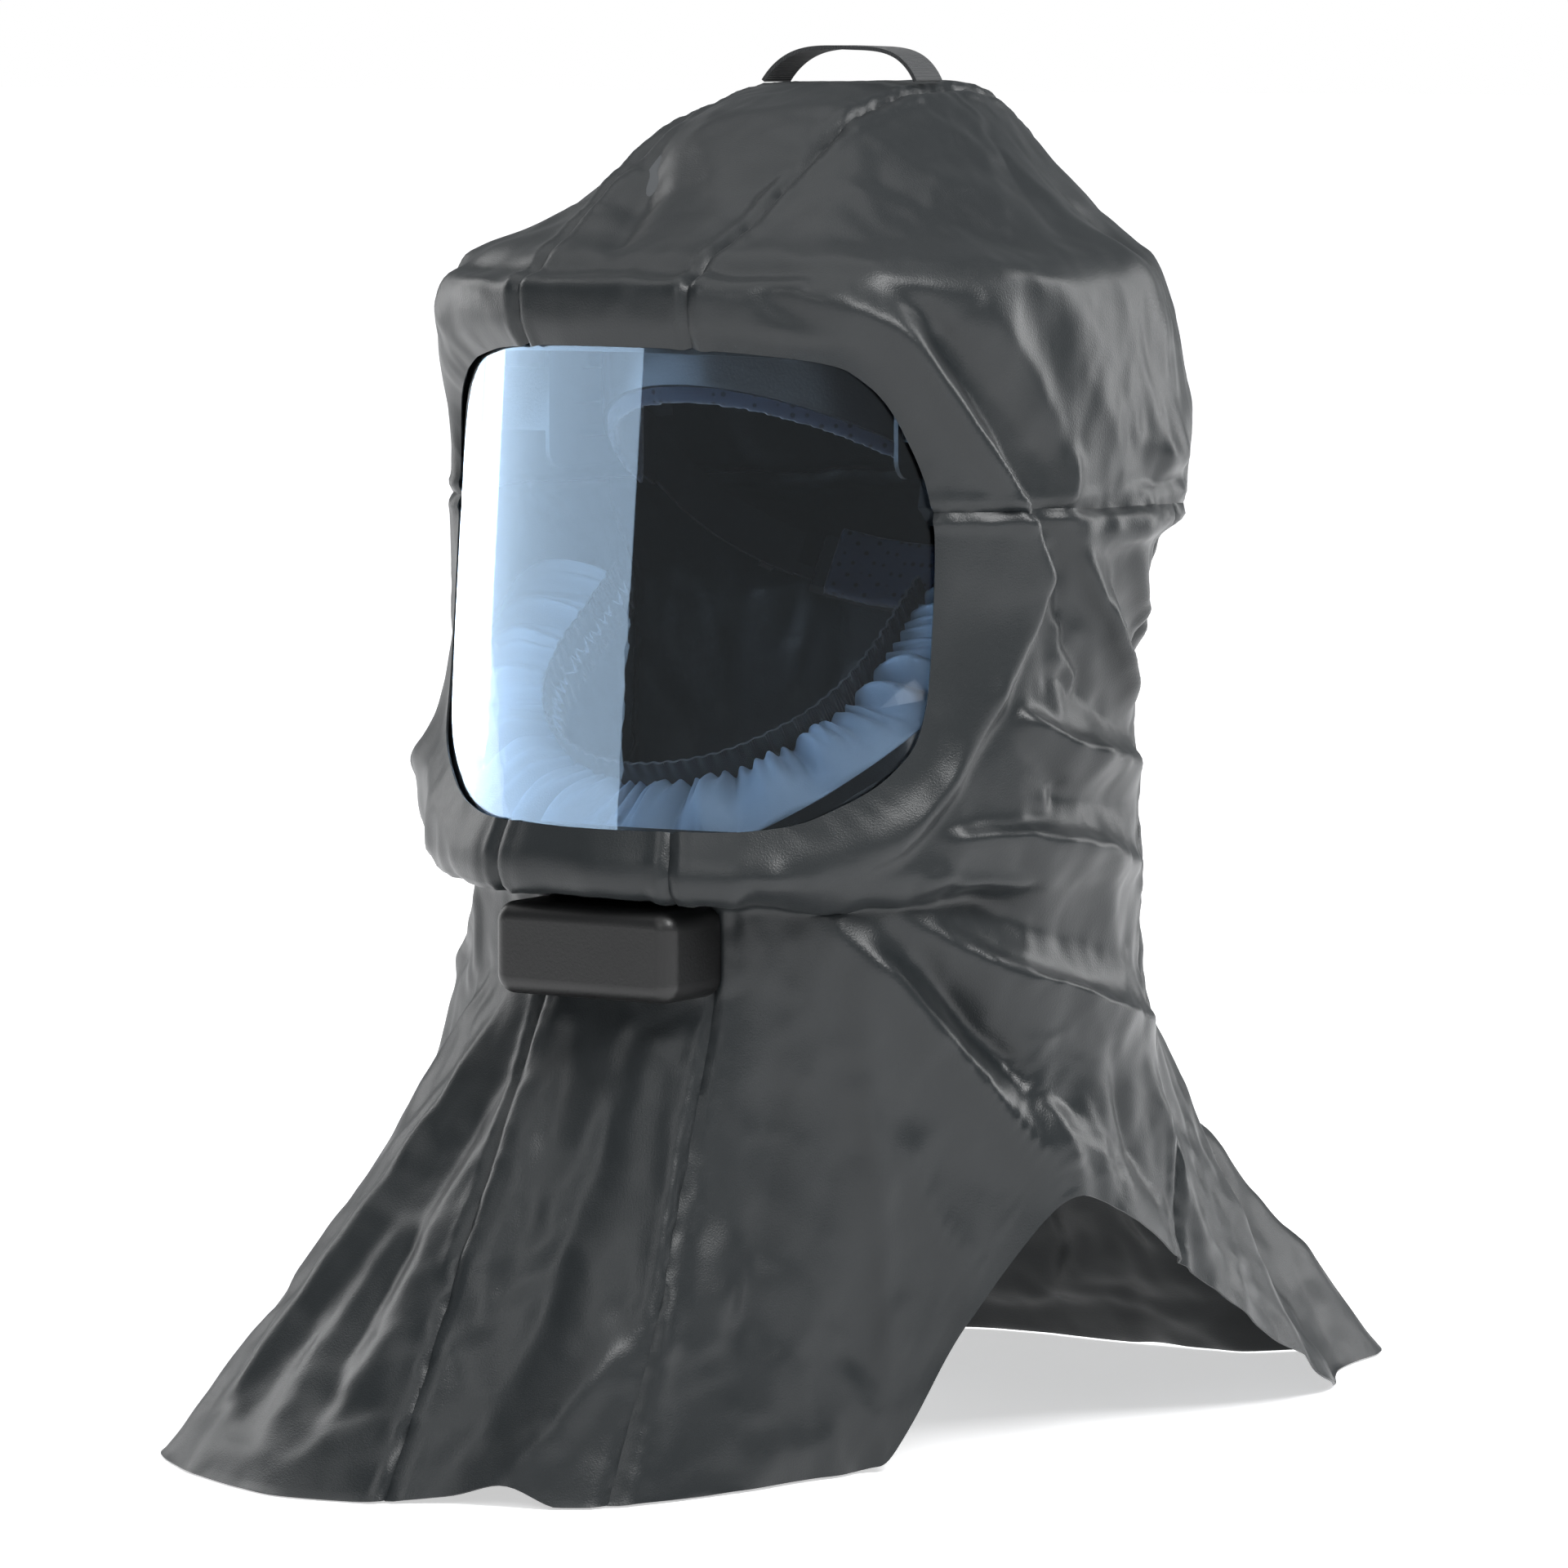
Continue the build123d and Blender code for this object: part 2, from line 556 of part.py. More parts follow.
with BuildPart() as crown_buckle:
    with BuildSketch(Plane.XY.offset(STRAP_TOP_Z - STRAP_T - 2.2)):
        with Locations((0, STRAP_Y)):
            RectangleRounded(30, 26, 4)
    extrude(amount=STRAP_T + 3.6)
    with BuildSketch(Plane.XZ.offset(-STRAP_Y)):
        with Locations((0, STRAP_FOOT_Z)):
            Ellipse(BAND_A + 2.4 + STRAP_T, STRAP_TOP_Z - STRAP_FOOT_Z + 0.3)
            Ellipse(BAND_A + 2.0, STRAP_TOP_Z - STRAP_FOOT_Z - STRAP_T - 0.3, mode=Mode.SUBTRACT)
        with Locations((0, STRAP_TOP_Z)):
            Rectangle(80, 20, mode=Mode.INTERSECT)
        with Locations((0, STRAP_TOP_Z)):
            Rectangle(5, 20, mode=Mode.SUBTRACT)
    extrude(amount=STRAP_WIDTH / 2 + 0.3, both=True, mode=Mode.SUBTRACT)
save(crown_buckle.part, "crown_buckle")

# ---------------------------------------------------------------- air duct over the head
def duct_band(grow, half_width):
    """The solid between two ellipses about the duct's centre line, as wide as the duct."""
    with BuildPart() as band:
        with BuildSketch(Plane.YZ):
            with Locations((DUCT_Y, DUCT_Z)):
                Ellipse(DUCT_A + grow, DUCT_B + grow)
                Ellipse(DUCT_A - grow, DUCT_B - grow, mode=Mode.SUBTRACT)
        extrude(amount=half_width, both=True)
    return band.part


with BuildPart() as air_duct:
    add(duct_band(DUCT_DEPTH / 2, DUCT_WIDTH / 2))
    add(duct_band(DUCT_DEPTH / 2 - DUCT_WALL, DUCT_WIDTH / 2 - DUCT_WALL), mode=Mode.SUBTRACT)
    with BuildSketch(Plane.YZ):
        with BuildLine():
            Polyline((DUCT_Y, DUCT_Z + 40), (DUCT_FRONT_Y, DUCT_Z + 62), (DUCT_FRONT_Y, 600),
                     (300, 600), (300, DUCT_REAR_Z), (DUCT_Y, DUCT_REAR_Z), close=True)
        make_face()
    extrude(amount=DUCT_WIDTH, both=True, mode=Mode.INTERSECT)
save(air_duct.part, "air_duct")


def duct_end(points, mouth_cutters, half_width):
    """A hollow duct end: an outline in the YZ plane with open mouths cut through its walls."""
    with BuildPart() as end:
        with BuildSketch(Plane.YZ):
            with BuildLine():
                Polyline(*points, close=True)
            make_face()
        extrude(amount=half_width, both=True)
        with BuildSketch(Plane.YZ):
            with BuildLine():
                Polyline(*points, close=True)
            make_face()
            offset(amount=-DUCT_WALL, kind=Kind.INTERSECTION)
        extrude(amount=half_width - DUCT_WALL, both=True, mode=Mode.SUBTRACT)
        for cutter in mouth_cutters:
            add(cutter, mode=Mode.SUBTRACT)
    return end.part


REAR_Y = DUCT_Y + DUCT_A * (1 - ((DUCT_REAR_Z - DUCT_Z) / DUCT_B) ** 2) ** 0.5
PLENUM_DEPTH = 12.0
face_near = inlet_plane.from_local_coords((0, -21, -PLENUM_DEPTH))
face_far = inlet_plane.from_local_coords((0, 21, -PLENUM_DEPTH))
port_low, port_high = sorted((face_near, face_far), key=lambda point: point.Z)
with BuildPart() as plenum_mouth:
    with Locations((0, REAR_Y, DUCT_REAR_Z)):
        Box(DUCT_WIDTH - 2 * DUCT_WALL, DUCT_DEPTH - 2 * DUCT_WALL, 8)
with BuildPart() as plenum_port:
    with Locations(inlet_plane.offset(-PLENUM_DEPTH)):
        Cylinder(JOURNAL_R + RUNNING, 6)
plenum_points = [
    (REAR_Y - DUCT_DEPTH / 2, DUCT_REAR_Z - 0.2),
    (REAR_Y + DUCT_DEPTH / 2, DUCT_REAR_Z - 0.2),
    (port_high.Y, port_high.Z),
    (port_low.Y, port_low.Z),
    (port_low.Y - 9, port_low.Z + 8),
    (port_low.Y - 1, port_low.Z + 42),
]
save(duct_end(plenum_points, [plenum_mouth.part, plenum_port.part], DUCT_WIDTH / 2), "duct_plenum")

NOZZLE_HALF = 46.0
front_z = DUCT_Z + DUCT_B * (1 - ((DUCT_FRONT_Y - DUCT_Y) / DUCT_A) ** 2) ** 0.5
with BuildPart() as nozzle_mouth:
    with Locations((0, DUCT_FRONT_Y, front_z)):
        Box(DUCT_WIDTH - 2 * DUCT_WALL, 8, 13)
with BuildPart() as nozzle_slit:
    with Locations((0, DUCT_FRONT_Y - 26, front_z - 24)):
        Box(2 * NOZZLE_HALF - 6, 5, 12)
nozzle_points = [
    (DUCT_FRONT_Y - 0.2, front_z - 11),
    (DUCT_FRONT_Y - 0.2, front_z + 12),
    (DUCT_FRONT_Y - 16, front_z + 2),
    (DUCT_FRONT_Y - 30, front_z - 16),
    (DUCT_FRONT_Y - 30, front_z - 24),
    (DUCT_FRONT_Y - 22, front_z - 24),
]
save(duct_end(nozzle_points, [nozzle_mouth.part, nozzle_slit.part], NOZZLE_HALF), "air_nozzle")

# ---------------------------------------------------------------- hose inlet and swivel coupling
RISE = (Align.CENTER, Align.CENTER, Align.MIN)


def ring(plane, start, stop, inner, outer):
    """A plain ring about a plane's axis between two heights."""
    with BuildPart() as washer:
        with BuildSketch(plane.offset(start)):
            Circle(outer)
            Circle(inner, mode=Mode.SUBTRACT)
        extrude(amount=stop - start)
    return washer.part


with BuildPart() as hose_inlet:
    add(ring(inlet_plane, -10.4, 9.0, JOURNAL_R + RUNNING, INLET_TUBE_R))
    add(ring(inlet_plane, -8.2, -5.8, INLET_TUBE_R - 0.5, 26.0))
save(hose_inlet.part, "hose_inlet")

save(ring(inlet_plane, 2.6, 4.0, INLET_TUBE_R + 0.2, 26.0), "inlet_gasket")

with BuildPart() as inlet_nut:
    with BuildSketch(inlet_plane.offset(4.0)):
        Circle(27.0)
        with PolarLocations(28.4, 10):
            Circle(3.4, mode=Mode.SUBTRACT)
        Circle(INLET_TUBE_R + 0.05, mode=Mode.SUBTRACT)
    extrude(amount=5.0)
    chamfer(inlet_nut.faces().sort_by(Axis(inlet_plane.origin, inlet_plane.z_dir))[-1].edges(), 0.6)
save(inlet_nut.part, "inlet_nut")

COLLAR_LOW, COLLAR_HIGH, COLLAR_R, BUTTON_R, BUTTON_S = 9.6, 32.0, 23.0, 4.0, 20.0
button_plane = Plane(
    origin=inlet_plane.from_local_coords((0, 0, BUTTON_S)), x_dir=(0, 0, 1), z_dir=(1, 0, 0)
)
with BuildPart() as hose_coupling:
    add(ring(inlet_plane, -9.0, COLLAR_LOW, HOSE_BORE_R, JOURNAL_R))
    with BuildSketch(inlet_plane.offset(COLLAR_LOW)):
        Circle(COLLAR_R)
    extrude(amount=COLLAR_HIGH - COLLAR_LOW, taper=3)
    with BuildSketch(inlet_plane.offset(COLLAR_LOW)):
        Circle(HOSE_BORE_R)
    extrude(amount=40, both=True, mode=Mode.SUBTRACT)
    with Locations(button_plane.offset(17.4), Plane(
        origin=button_plane.origin, x_dir=(0, 0, 1), z_dir=(-1, 0, 0)
    ).offset(17.4)):
        Cylinder(BUTTON_R + RUNNING, 12, align=RISE, mode=Mode.SUBTRACT)
save(hose_coupling.part, "hose_coupling")

save(ring(inlet_plane, -11.4, -10.5, JOURNAL_R - 2.0, JOURNAL_R + 1.2), "swivel_clip")

for name, side in (("latch_button_left", 1), ("latch_button_right", -1)):
    with BuildPart() as latch_button:
        with Locations(Plane(origin=button_plane.origin, x_dir=(0, 0, 1), z_dir=(side, 0, 0)).offset(19.2)):
            Cylinder(BUTTON_R, 5.2, align=RISE)
        outer_face = latch_button.faces().sort_by(Axis.X)[-1 if side > 0 else 0]
        fillet(outer_face.edges(), 0.6)
    save(latch_button.part, name)

# ---------------------------------------------------------------- exhalation valve
def neck_cylinder(grow):
    """The neck's elliptical cylinder, grown by a distance, with the valve's height to spare."""
    with BuildPart() as column:
        with BuildSketch(Plane.XY.offset(VALVE_Z - 40)):
            Ellipse(NECK_HALF + grow, NECK_FRONT + grow)
        extrude(amount=80)
    return column.part


SEAT_INNER_R, SEAT_LIP, HUB_R, STEM_R = 12.0, 6.0, 3.2, 1.1
with BuildPart() as valve_seat:
    with BuildSketch(valve_plane.offset(-30)):
        RectangleRounded(COVER_W - 6, COVER_H - 8, 6)
    extrude(amount=40)
    add(neck_cylinder(-FABRIC - 0.3), mode=Mode.INTERSECT)
    add(neck_cylinder(-FABRIC - 2.5), mode=Mode.SUBTRACT)
    with BuildSketch(valve_plane.offset(-5.5)):
        Circle(SEAT_R)
    extrude(amount=5.5 + SEAT_LIP)
    with BuildSketch(valve_plane.offset(-20)):
        Circle(SEAT_INNER_R)
    extrude(amount=40, mode=Mode.SUBTRACT)
    with BuildSketch(valve_plane.offset(SEAT_LIP - 2.6)):
        Circle(HUB_R)
        with PolarLocations(0, 3):
            with Locations((SEAT_INNER_R / 2 + 1, 0)):
                Rectangle(SEAT_INNER_R, 1.6)
        Circle(STEM_R + RUNNING, mode=Mode.SUBTRACT)
    extrude(amount=2.6)
    with BuildSketch(valve_plane.offset(-20)):
        with GridLocations(2 * VALVE_SCREW_X, 0, 2, 1):
            Circle(1.7)
    extrude(amount=30, mode=Mode.SUBTRACT)
save(valve_seat.part, "valve_seat")

FLAP_TRAVEL = 2.0
with BuildPart() as valve_flap:
    with BuildSketch(valve_plane.offset(SEAT_LIP + 0.05)):
        Circle(SEAT_R - 0.6)
    extrude(amount=0.8)
    with BuildSketch(valve_plane.offset(SEAT_LIP - 6.4)):
        Circle(STEM_R)
    extrude(amount=6.6)
    with BuildSketch(valve_plane.offset(SEAT_LIP - 6.4)):
        Circle(STEM_R + 0.8)
    extrude(amount=1.6)
save(valve_flap.part, "valve_flap")

def cover_block(inset):
    """The cover's rounded block, drawn in by inset on every side but its back."""
    with BuildPart() as block:
        with BuildSketch(valve_plane.offset(-12)):
            RectangleRounded(COVER_W - 2 * inset, COVER_H - 2 * inset, 8 - inset)
        extrude(amount=12 + COVER_DEPTH - inset)
        fillet(block.faces().sort_by(Axis.Y)[0].edges(), 7 - inset)
    return block.part


with BuildPart() as valve_cover:
    add(cover_block(0))
    add(cover_block(COVER_WALL), mode=Mode.SUBTRACT)
    for x in (-VALVE_SCREW_X, VALVE_SCREW_X):
        with BuildSketch(Plane(origin=(x, -NECK_FRONT - COVER_DEPTH + 1, VALVE_Z), z_dir=(0, 1, 0))):
            Circle(3.2)
        extrude(amount=COVER_DEPTH + 9)
    add(neck_cylinder(0.3), mode=Mode.SUBTRACT)
    with BuildSketch(Plane(origin=(0, 0, VALVE_Z - COVER_H / 2), z_dir=(0, 0, -1))):
        with Locations((0, NECK_FRONT + 13)):
            with GridLocations(11, 0, 5, 1):
                SlotOverall(14, 4, rotation=90)
    extrude(amount=4, both=True, mode=Mode.SUBTRACT)
    with BuildSketch(valve_plane.offset(-12)):
        with GridLocations(2 * VALVE_SCREW_X, 0, 2, 1):
            Circle(1.25)
    extrude(amount=12 + 18, mode=Mode.SUBTRACT)
save(valve_cover.part, "valve_cover")

with BuildPart() as valve_screws:
    wall_drop = NECK_FRONT * (1 - (1 - (VALVE_SCREW_X / NECK_HALF) ** 2) ** 0.5)
    with BuildSketch(valve_plane.offset(-wall_drop - FABRIC - 3.4)):
        with GridLocations(2 * VALVE_SCREW_X, 0, 2, 1):
            Circle(1.25)
    extrude(amount=16)
    with BuildSketch(valve_plane.offset(-wall_drop - FABRIC - 3.4)):
        with GridLocations(2 * VALVE_SCREW_X, 0, 2, 1):
            Circle(2.8)
    extrude(amount=-1.8)
save(valve_screws.part, "valve_screws")
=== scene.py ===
from math import cos, pi, radians, sin

import bmesh
import bpy
import numpy as np
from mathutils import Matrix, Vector, noise


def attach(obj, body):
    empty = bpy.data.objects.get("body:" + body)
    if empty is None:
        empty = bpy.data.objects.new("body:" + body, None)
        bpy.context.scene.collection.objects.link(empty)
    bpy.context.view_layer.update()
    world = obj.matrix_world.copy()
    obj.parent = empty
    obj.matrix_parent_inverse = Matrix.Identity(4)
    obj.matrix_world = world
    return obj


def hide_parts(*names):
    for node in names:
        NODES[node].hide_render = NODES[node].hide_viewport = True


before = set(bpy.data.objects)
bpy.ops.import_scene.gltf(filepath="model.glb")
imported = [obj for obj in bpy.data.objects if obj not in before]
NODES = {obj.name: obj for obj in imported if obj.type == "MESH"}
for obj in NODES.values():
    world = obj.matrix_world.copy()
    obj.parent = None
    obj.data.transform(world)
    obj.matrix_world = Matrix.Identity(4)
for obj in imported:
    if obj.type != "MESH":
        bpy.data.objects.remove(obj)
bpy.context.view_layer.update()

MM = 0.001

# ---------------------------------------------------------------- camera, floor and light
CAMERA_AZIMUTH, CAMERA_DISTANCE, CAMERA_HEIGHT = radians(33), 3.3, 0.574
AIM_HEIGHT, AIM_SIDE = 0.265, -0.0136
SENSOR, LENS = 36.0, 185.0

LIGHT_AIM = (0, 0, 0.3)
FLOOR_REACH = 60

across = Vector((cos(CAMERA_AZIMUTH), sin(CAMERA_AZIMUTH), 0))
toward = Vector((sin(CAMERA_AZIMUTH), -cos(CAMERA_AZIMUTH), 0))


def linked(name, data):
    """A new object in the scene."""
    thing = bpy.data.objects.new(name, data)
    bpy.context.scene.collection.objects.link(thing)
    return thing


def place(name, data, at, aim):
    """Adds a camera or a light that looks from at towards aim."""
    thing = linked(name, data)
    thing.location = at
    thing.rotation_mode = "QUATERNION"
    thing.rotation_quaternion = (Vector(aim) - Vector(at)).to_track_quat("-Z", "Y")
    return thing


def add_camera():
    """The camera, in front and on the wearer's left, looking slightly down."""
    data = bpy.data.cameras.new("camera")
    data.sensor_width, data.lens = SENSOR, LENS
    aim = across * AIM_SIDE + Vector((0, 0, AIM_HEIGHT))
    at = across * AIM_SIDE + toward * CAMERA_DISTANCE + Vector((0, 0, CAMERA_HEIGHT))
    bpy.context.scene.camera = place("camera", data, at, aim)


def add_light(name, azimuth, distance, height, size, power, tint=(1, 1, 1)):
    """A rectangular softbox; azimuth runs from the object's front towards the wearer's left."""
    data = bpy.data.lights.new(name, "AREA")
    data.shape, data.size, data.size_y = "RECTANGLE", size[0], size[1]
    data.energy, data.color = power, tint
    a = radians(azimuth)
    at = Vector((sin(a) * distance, -cos(a) * distance, height))
    return place(name, data, at, LIGHT_AIM)


def add_floor():
    """A pale floor that glows slightly, so that it runs out into the white background."""
    corners = [(x * FLOOR_REACH, y * FLOOR_REACH, 0) for x, y in ((-1, -1), (1, -1), (1, 1), (-1, 1))]
    floor = bpy.data.meshes.new("floor")
    floor.from_pydata(corners, [], [(0, 1, 2, 3)])
    ground = linked("floor", floor)
    floor.materials.append(material("floor", (0.92, 0.92, 0.93), 0.9, specular=0.05, glow=0.56)[0])


def add_world():
    """A dim grey surround that the camera sees as white."""
    world = bpy.data.worlds.new("studio")
    world.use_nodes = True
    tree = world.node_tree
    background = tree.nodes["Background"]
    background.inputs["Color"].default_value = (0.55, 0.58, 0.6, 1)
    background.inputs["Strength"].default_value = 0.35
    white = tree.nodes.new("ShaderNodeBackground")
    white.inputs["Color"].default_value = (1, 1, 1, 1)
    path, mix = tree.nodes.new("ShaderNodeLightPath"), tree.nodes.new("ShaderNodeMixShader")
    tree.links.new(path.outputs["Is Camera Ray"], mix.inputs["Fac"])
    tree.links.new(background.outputs["Background"], mix.inputs[1])
    tree.links.new(white.outputs["Background"], mix.inputs[2])
    tree.links.new(mix.outputs["Shader"], tree.nodes["World Output"].inputs["Surface"])
    bpy.context.scene.world = world
    bpy.context.scene.view_settings.view_transform = "Standard"


def add_lights():
    """Soft studio light, and a blue softbox that shines on the lens alone, for its reflection."""
    add_light("key_softbox", 75, 1.7, 1.9, (0.8, 0.8), 46)
    sky = bpy.data.lights.new("ceiling", "SUN")
    sky.energy, sky.angle = 1.5, radians(75)
    place("ceiling", sky, (0, 0, 3), (0.2, 0.3, 0))
    add_light("front_fill", 10, 2.4, 1.5, (1.2, 0.8), 13)
    add_light("right_edge", 150, 1.8, 0.9, (0.6, 1.4), 16)
    visor_box = add_light("visor_softbox", -80, 1.3, 0.7, (5.6, 1.6), 130, (0.60, 0.79, 1.0))
    catching = bpy.data.collections.new("visor_light")
    catching.objects.link(NODES["visor_lens"])
    visor_box.light_linking.receiver_collection = catching
    add_light("left_softbox", -95, 1.6, 0.9, (0.5, 1.4), 9)


# ---------------------------------------------------------------- materials
def material(name, colour, roughness, specular=0.5, metallic=0.0, sheen=0.0, glow=0.0):
    """A Principled material, its nodes and its shader."""
    made = bpy.data.materials.new(name)
    made.use_nodes = True
    tree = made.node_tree
    shader = tree.nodes["Principled BSDF"]
    shader.inputs["Base Color"].default_value = (*colour, 1)
    shader.inputs["Roughness"].default_value = roughness
    shader.inputs["Specular IOR Level"].default_value = specular
    shader.inputs["Metallic"].default_value = metallic
    shader.inputs["Sheen Weight"].default_value = sheen
    if glow:
        shader.inputs["Emission Color"].default_value = (1, 1, 1, 1)
        shader.inputs["Emission Strength"].default_value = glow
    return made, tree, shader


def texture(tree, kind, scale, stretch=(1, 1, 1), **inputs):
    """A procedural texture in object space; scale is in features per metre."""
    where, mapping = tree.nodes.new("ShaderNodeTexCoord"), tree.nodes.new("ShaderNodeMapping")
    mapping.inputs["Scale"].default_value = stretch
    node = tree.nodes.new(kind)
    node.inputs["Scale"].default_value = scale
    for key, value in inputs.items():
        node.inputs[key.replace("_", " ")].default_value = value
    tree.links.new(where.outputs["Object"], mapping.inputs["Vector"])
    tree.links.new(mapping.outputs["Vector"], node.inputs["Vector"])
    return node


def bump(tree, shader, height, distance, strength=1.0):
    """Adds a bump to a shader, on top of any bump it has."""
    node = tree.nodes.new("ShaderNodeBump")
    node.inputs["Strength"].default_value = strength
    node.inputs["Distance"].default_value = distance
    tree.links.new(height, node.inputs["Height"])
    before = shader.inputs["Normal"].links
    if before:
        tree.links.new(before[0].from_socket, node.inputs["Normal"])
    tree.links.new(node.outputs["Normal"], shader.inputs["Normal"])


def varied(tree, shader, socket, source, dark, light):
    """Drives a socket between two values or colours from a texture."""
    ramp = tree.nodes.new("ShaderNodeValToRGB")
    for stop, value, position in zip(ramp.color_ramp.elements, (dark, light), (0.3, 0.7)):
        stop.color = (*value, 1) if isinstance(value, tuple) else (value, value, value, 1)
        stop.position = position
    tree.links.new(source, ramp.inputs["Fac"])
    tree.links.new(ramp.outputs["Color"], shader.inputs[socket])
    return ramp


def coated_cloth(name, colour, roughness):
    """Stiff coated cloth: a fine weave, small creases and slight wear."""
    made, tree, shader = material(name, colour, roughness, specular=0.38, sheen=0.04)
    shader.inputs["Sheen Roughness"].default_value = 0.4
    dents = texture(tree, "ShaderNodeTexNoise", 24, (1, 1, 0.6), Detail=1.5)
    bump(tree, shader, dents.outputs["Fac"], 0.005)
    creases = texture(tree, "ShaderNodeTexVoronoi", 17, (1, 1, 0.6))
    creases.feature = "SMOOTH_F1"
    bump(tree, shader, creases.outputs["Distance"], 0.004)
    weave = texture(tree, "ShaderNodeTexNoise", 1500, Detail=1.0)
    bump(tree, shader, weave.outputs["Fac"], 0.0002, 0.5)
    patches = texture(tree, "ShaderNodeTexNoise", 9, Detail=2.0)
    varied(tree, shader, "Roughness", patches.outputs["Fac"], roughness - 0.04, roughness + 0.06)
    return made


def moulded(name, colour, roughness, grain=0.00012):
    """Moulded plastic with a fine spark-eroded grain."""
    made, tree, shader = material(name, colour, roughness)
    fine = texture(tree, "ShaderNodeTexNoise", 900, Detail=2.0)
    bump(tree, shader, fine.outputs["Fac"], grain, 0.6)
    patches = texture(tree, "ShaderNodeTexNoise", 14, Detail=2.0)
    varied(tree, shader, "Roughness", patches.outputs["Fac"], roughness - 0.05, roughness + 0.06)
    return made


def woven(name, colour, roughness, scale=420):
    """Webbing or elastic: ribs along and across."""
    made, tree, shader = material(name, colour, roughness, specular=0.3, sheen=0.15)
    ribs = texture(tree, "ShaderNodeTexWave", scale, Distortion=0.4)
    bump(tree, shader, ribs.outputs["Fac"], 0.0004, 0.7)
    return made


def perforated(name, colour, hole):
    """Soft foam-backed sweatband with rows of small holes."""
    made, tree, shader = material(name, colour, 0.75, specular=0.25, sheen=0.3)
    dots = texture(tree, "ShaderNodeTexVoronoi", 240, Randomness=0.08)
    ramp = varied(tree, shader, "Base Color", dots.outputs["Distance"], hole, colour)
    ramp.color_ramp.elements[0].position, ramp.color_ramp.elements[1].position = 0.2, 0.3
    bump(tree, shader, ramp.outputs["Color"], 0.0006)
    return made


def brushed(name, colour, roughness):
    """Bare metal with a fine drawn grain."""
    made, tree, shader = material(name, colour, roughness, metallic=1.0)
    fine = texture(tree, "ShaderNodeTexNoise", 700, (1, 1, 14), Detail=2.0)
    varied(tree, shader, "Roughness", fine.outputs["Fac"], roughness - 0.08, roughness + 0.1)
    return made


def clear_sheet(name, tint, roughness):
    """Clear polycarbonate."""
    made, tree, shader = material(name, tint, roughness)
    shader.inputs["Transmission Weight"].default_value = 1.0
    shader.inputs["IOR"].default_value = 1.52
    return made


MATERIALS = {
    "hood_fabric": coated_cloth("hood_fabric", (0.011, 0.0135, 0.015), 0.38),
    "skirt_inner": coated_cloth("skirt_inner", (0.17, 0.21, 0.26), 0.55),
    "webbing": woven("webbing", (0.02, 0.022, 0.024), 0.6),
    "lens": clear_sheet("lens", (0.80, 0.90, 1.0), 0.02),
    "frame_plastic": moulded("frame_plastic", (0.012, 0.013, 0.014), 0.35),
    "seal_elastic": woven("seal_elastic", (0.006, 0.006, 0.007), 0.7, 600),
    "band_plastic": moulded("band_plastic", (0.012, 0.012, 0.013), 0.32),
    "sweatband": perforated("sweatband", (0.022, 0.027, 0.045), (0.002, 0.002, 0.003)),
    "knob_plastic": moulded("knob_plastic", (0.02, 0.021, 0.023), 0.45),
    "metal": brushed("metal", (0.55, 0.56, 0.58), 0.3),
    "duct_plastic": moulded("duct_plastic", (0.05, 0.055, 0.06), 0.5),
    "coupling_plastic": moulded("coupling_plastic", (0.018, 0.019, 0.02), 0.38),
    "button_plastic": moulded("button_plastic", (0.10, 0.11, 0.12), 0.4),
    "seal_rubber": moulded("seal_rubber", (0.015, 0.015, 0.016), 0.7, 0.0003),
    "cover_plastic": moulded("cover_plastic", (0.0015, 0.0016, 0.0018), 0.42),
}


def dress_nodes():
    """Gives every carried-over node the material of its slot."""
    for thing in NODES.values():
        slot = thing.data.materials[0].name.split(".")[0]
        made = MATERIALS.get("skirt_inner" if slot == "seal_fabric" else slot)
        if made:
            thing.data.materials.clear()
            thing.data.materials.append(made)


# ---------------------------------------------------------------- mesh helpers
def new_object(name, points, faces):
    """A smooth mesh object from points in millimetres."""
    mesh = bpy.data.meshes.new(name)
    mesh.from_pydata([tuple(p) for p in np.asarray(points, float) * MM], [], [tuple(f) for f in faces])
    mesh.validate()
    thing = linked(name, mesh)
    mesh.shade_smooth()
    return thing


def baked(thing):
    """Applies a thing's modifiers."""
    bpy.context.view_layer.update()
    graph = bpy.context.evaluated_depsgraph_get()
    final = thing.evaluated_get(graph)
    mesh = bpy.data.meshes.new_from_object(final, preserve_all_data_layers=True, depsgraph=graph)
    old = thing.data
    thing.modifiers.clear()
    thing.data = mesh
    bpy.data.meshes.remove(old)
    return thing


def thickened(thing, thickness, offset):
    """Gives an open sheet its thickness, in metres."""
    shell = thing.modifiers.new("shell", "SOLIDIFY")
    shell.thickness, shell.offset = thickness, offset
    baked(thing)
    thing.data.shade_smooth()


def strip(name, points, columns, rows, slot, thickness):
    """A thin sheet over a grid of points."""
    index = np.arange(columns * rows).reshape(columns, rows)
    faces = np.stack([index[:-1, :-1], index[1:, :-1], index[1:, 1:], index[:-1, 1:]], -1).reshape(-1, 4)
    thing = new_object(name, points, faces)
    thing.data.materials.append(MATERIALS[slot])
    thickened(thing, thickness, 0)
    return thing


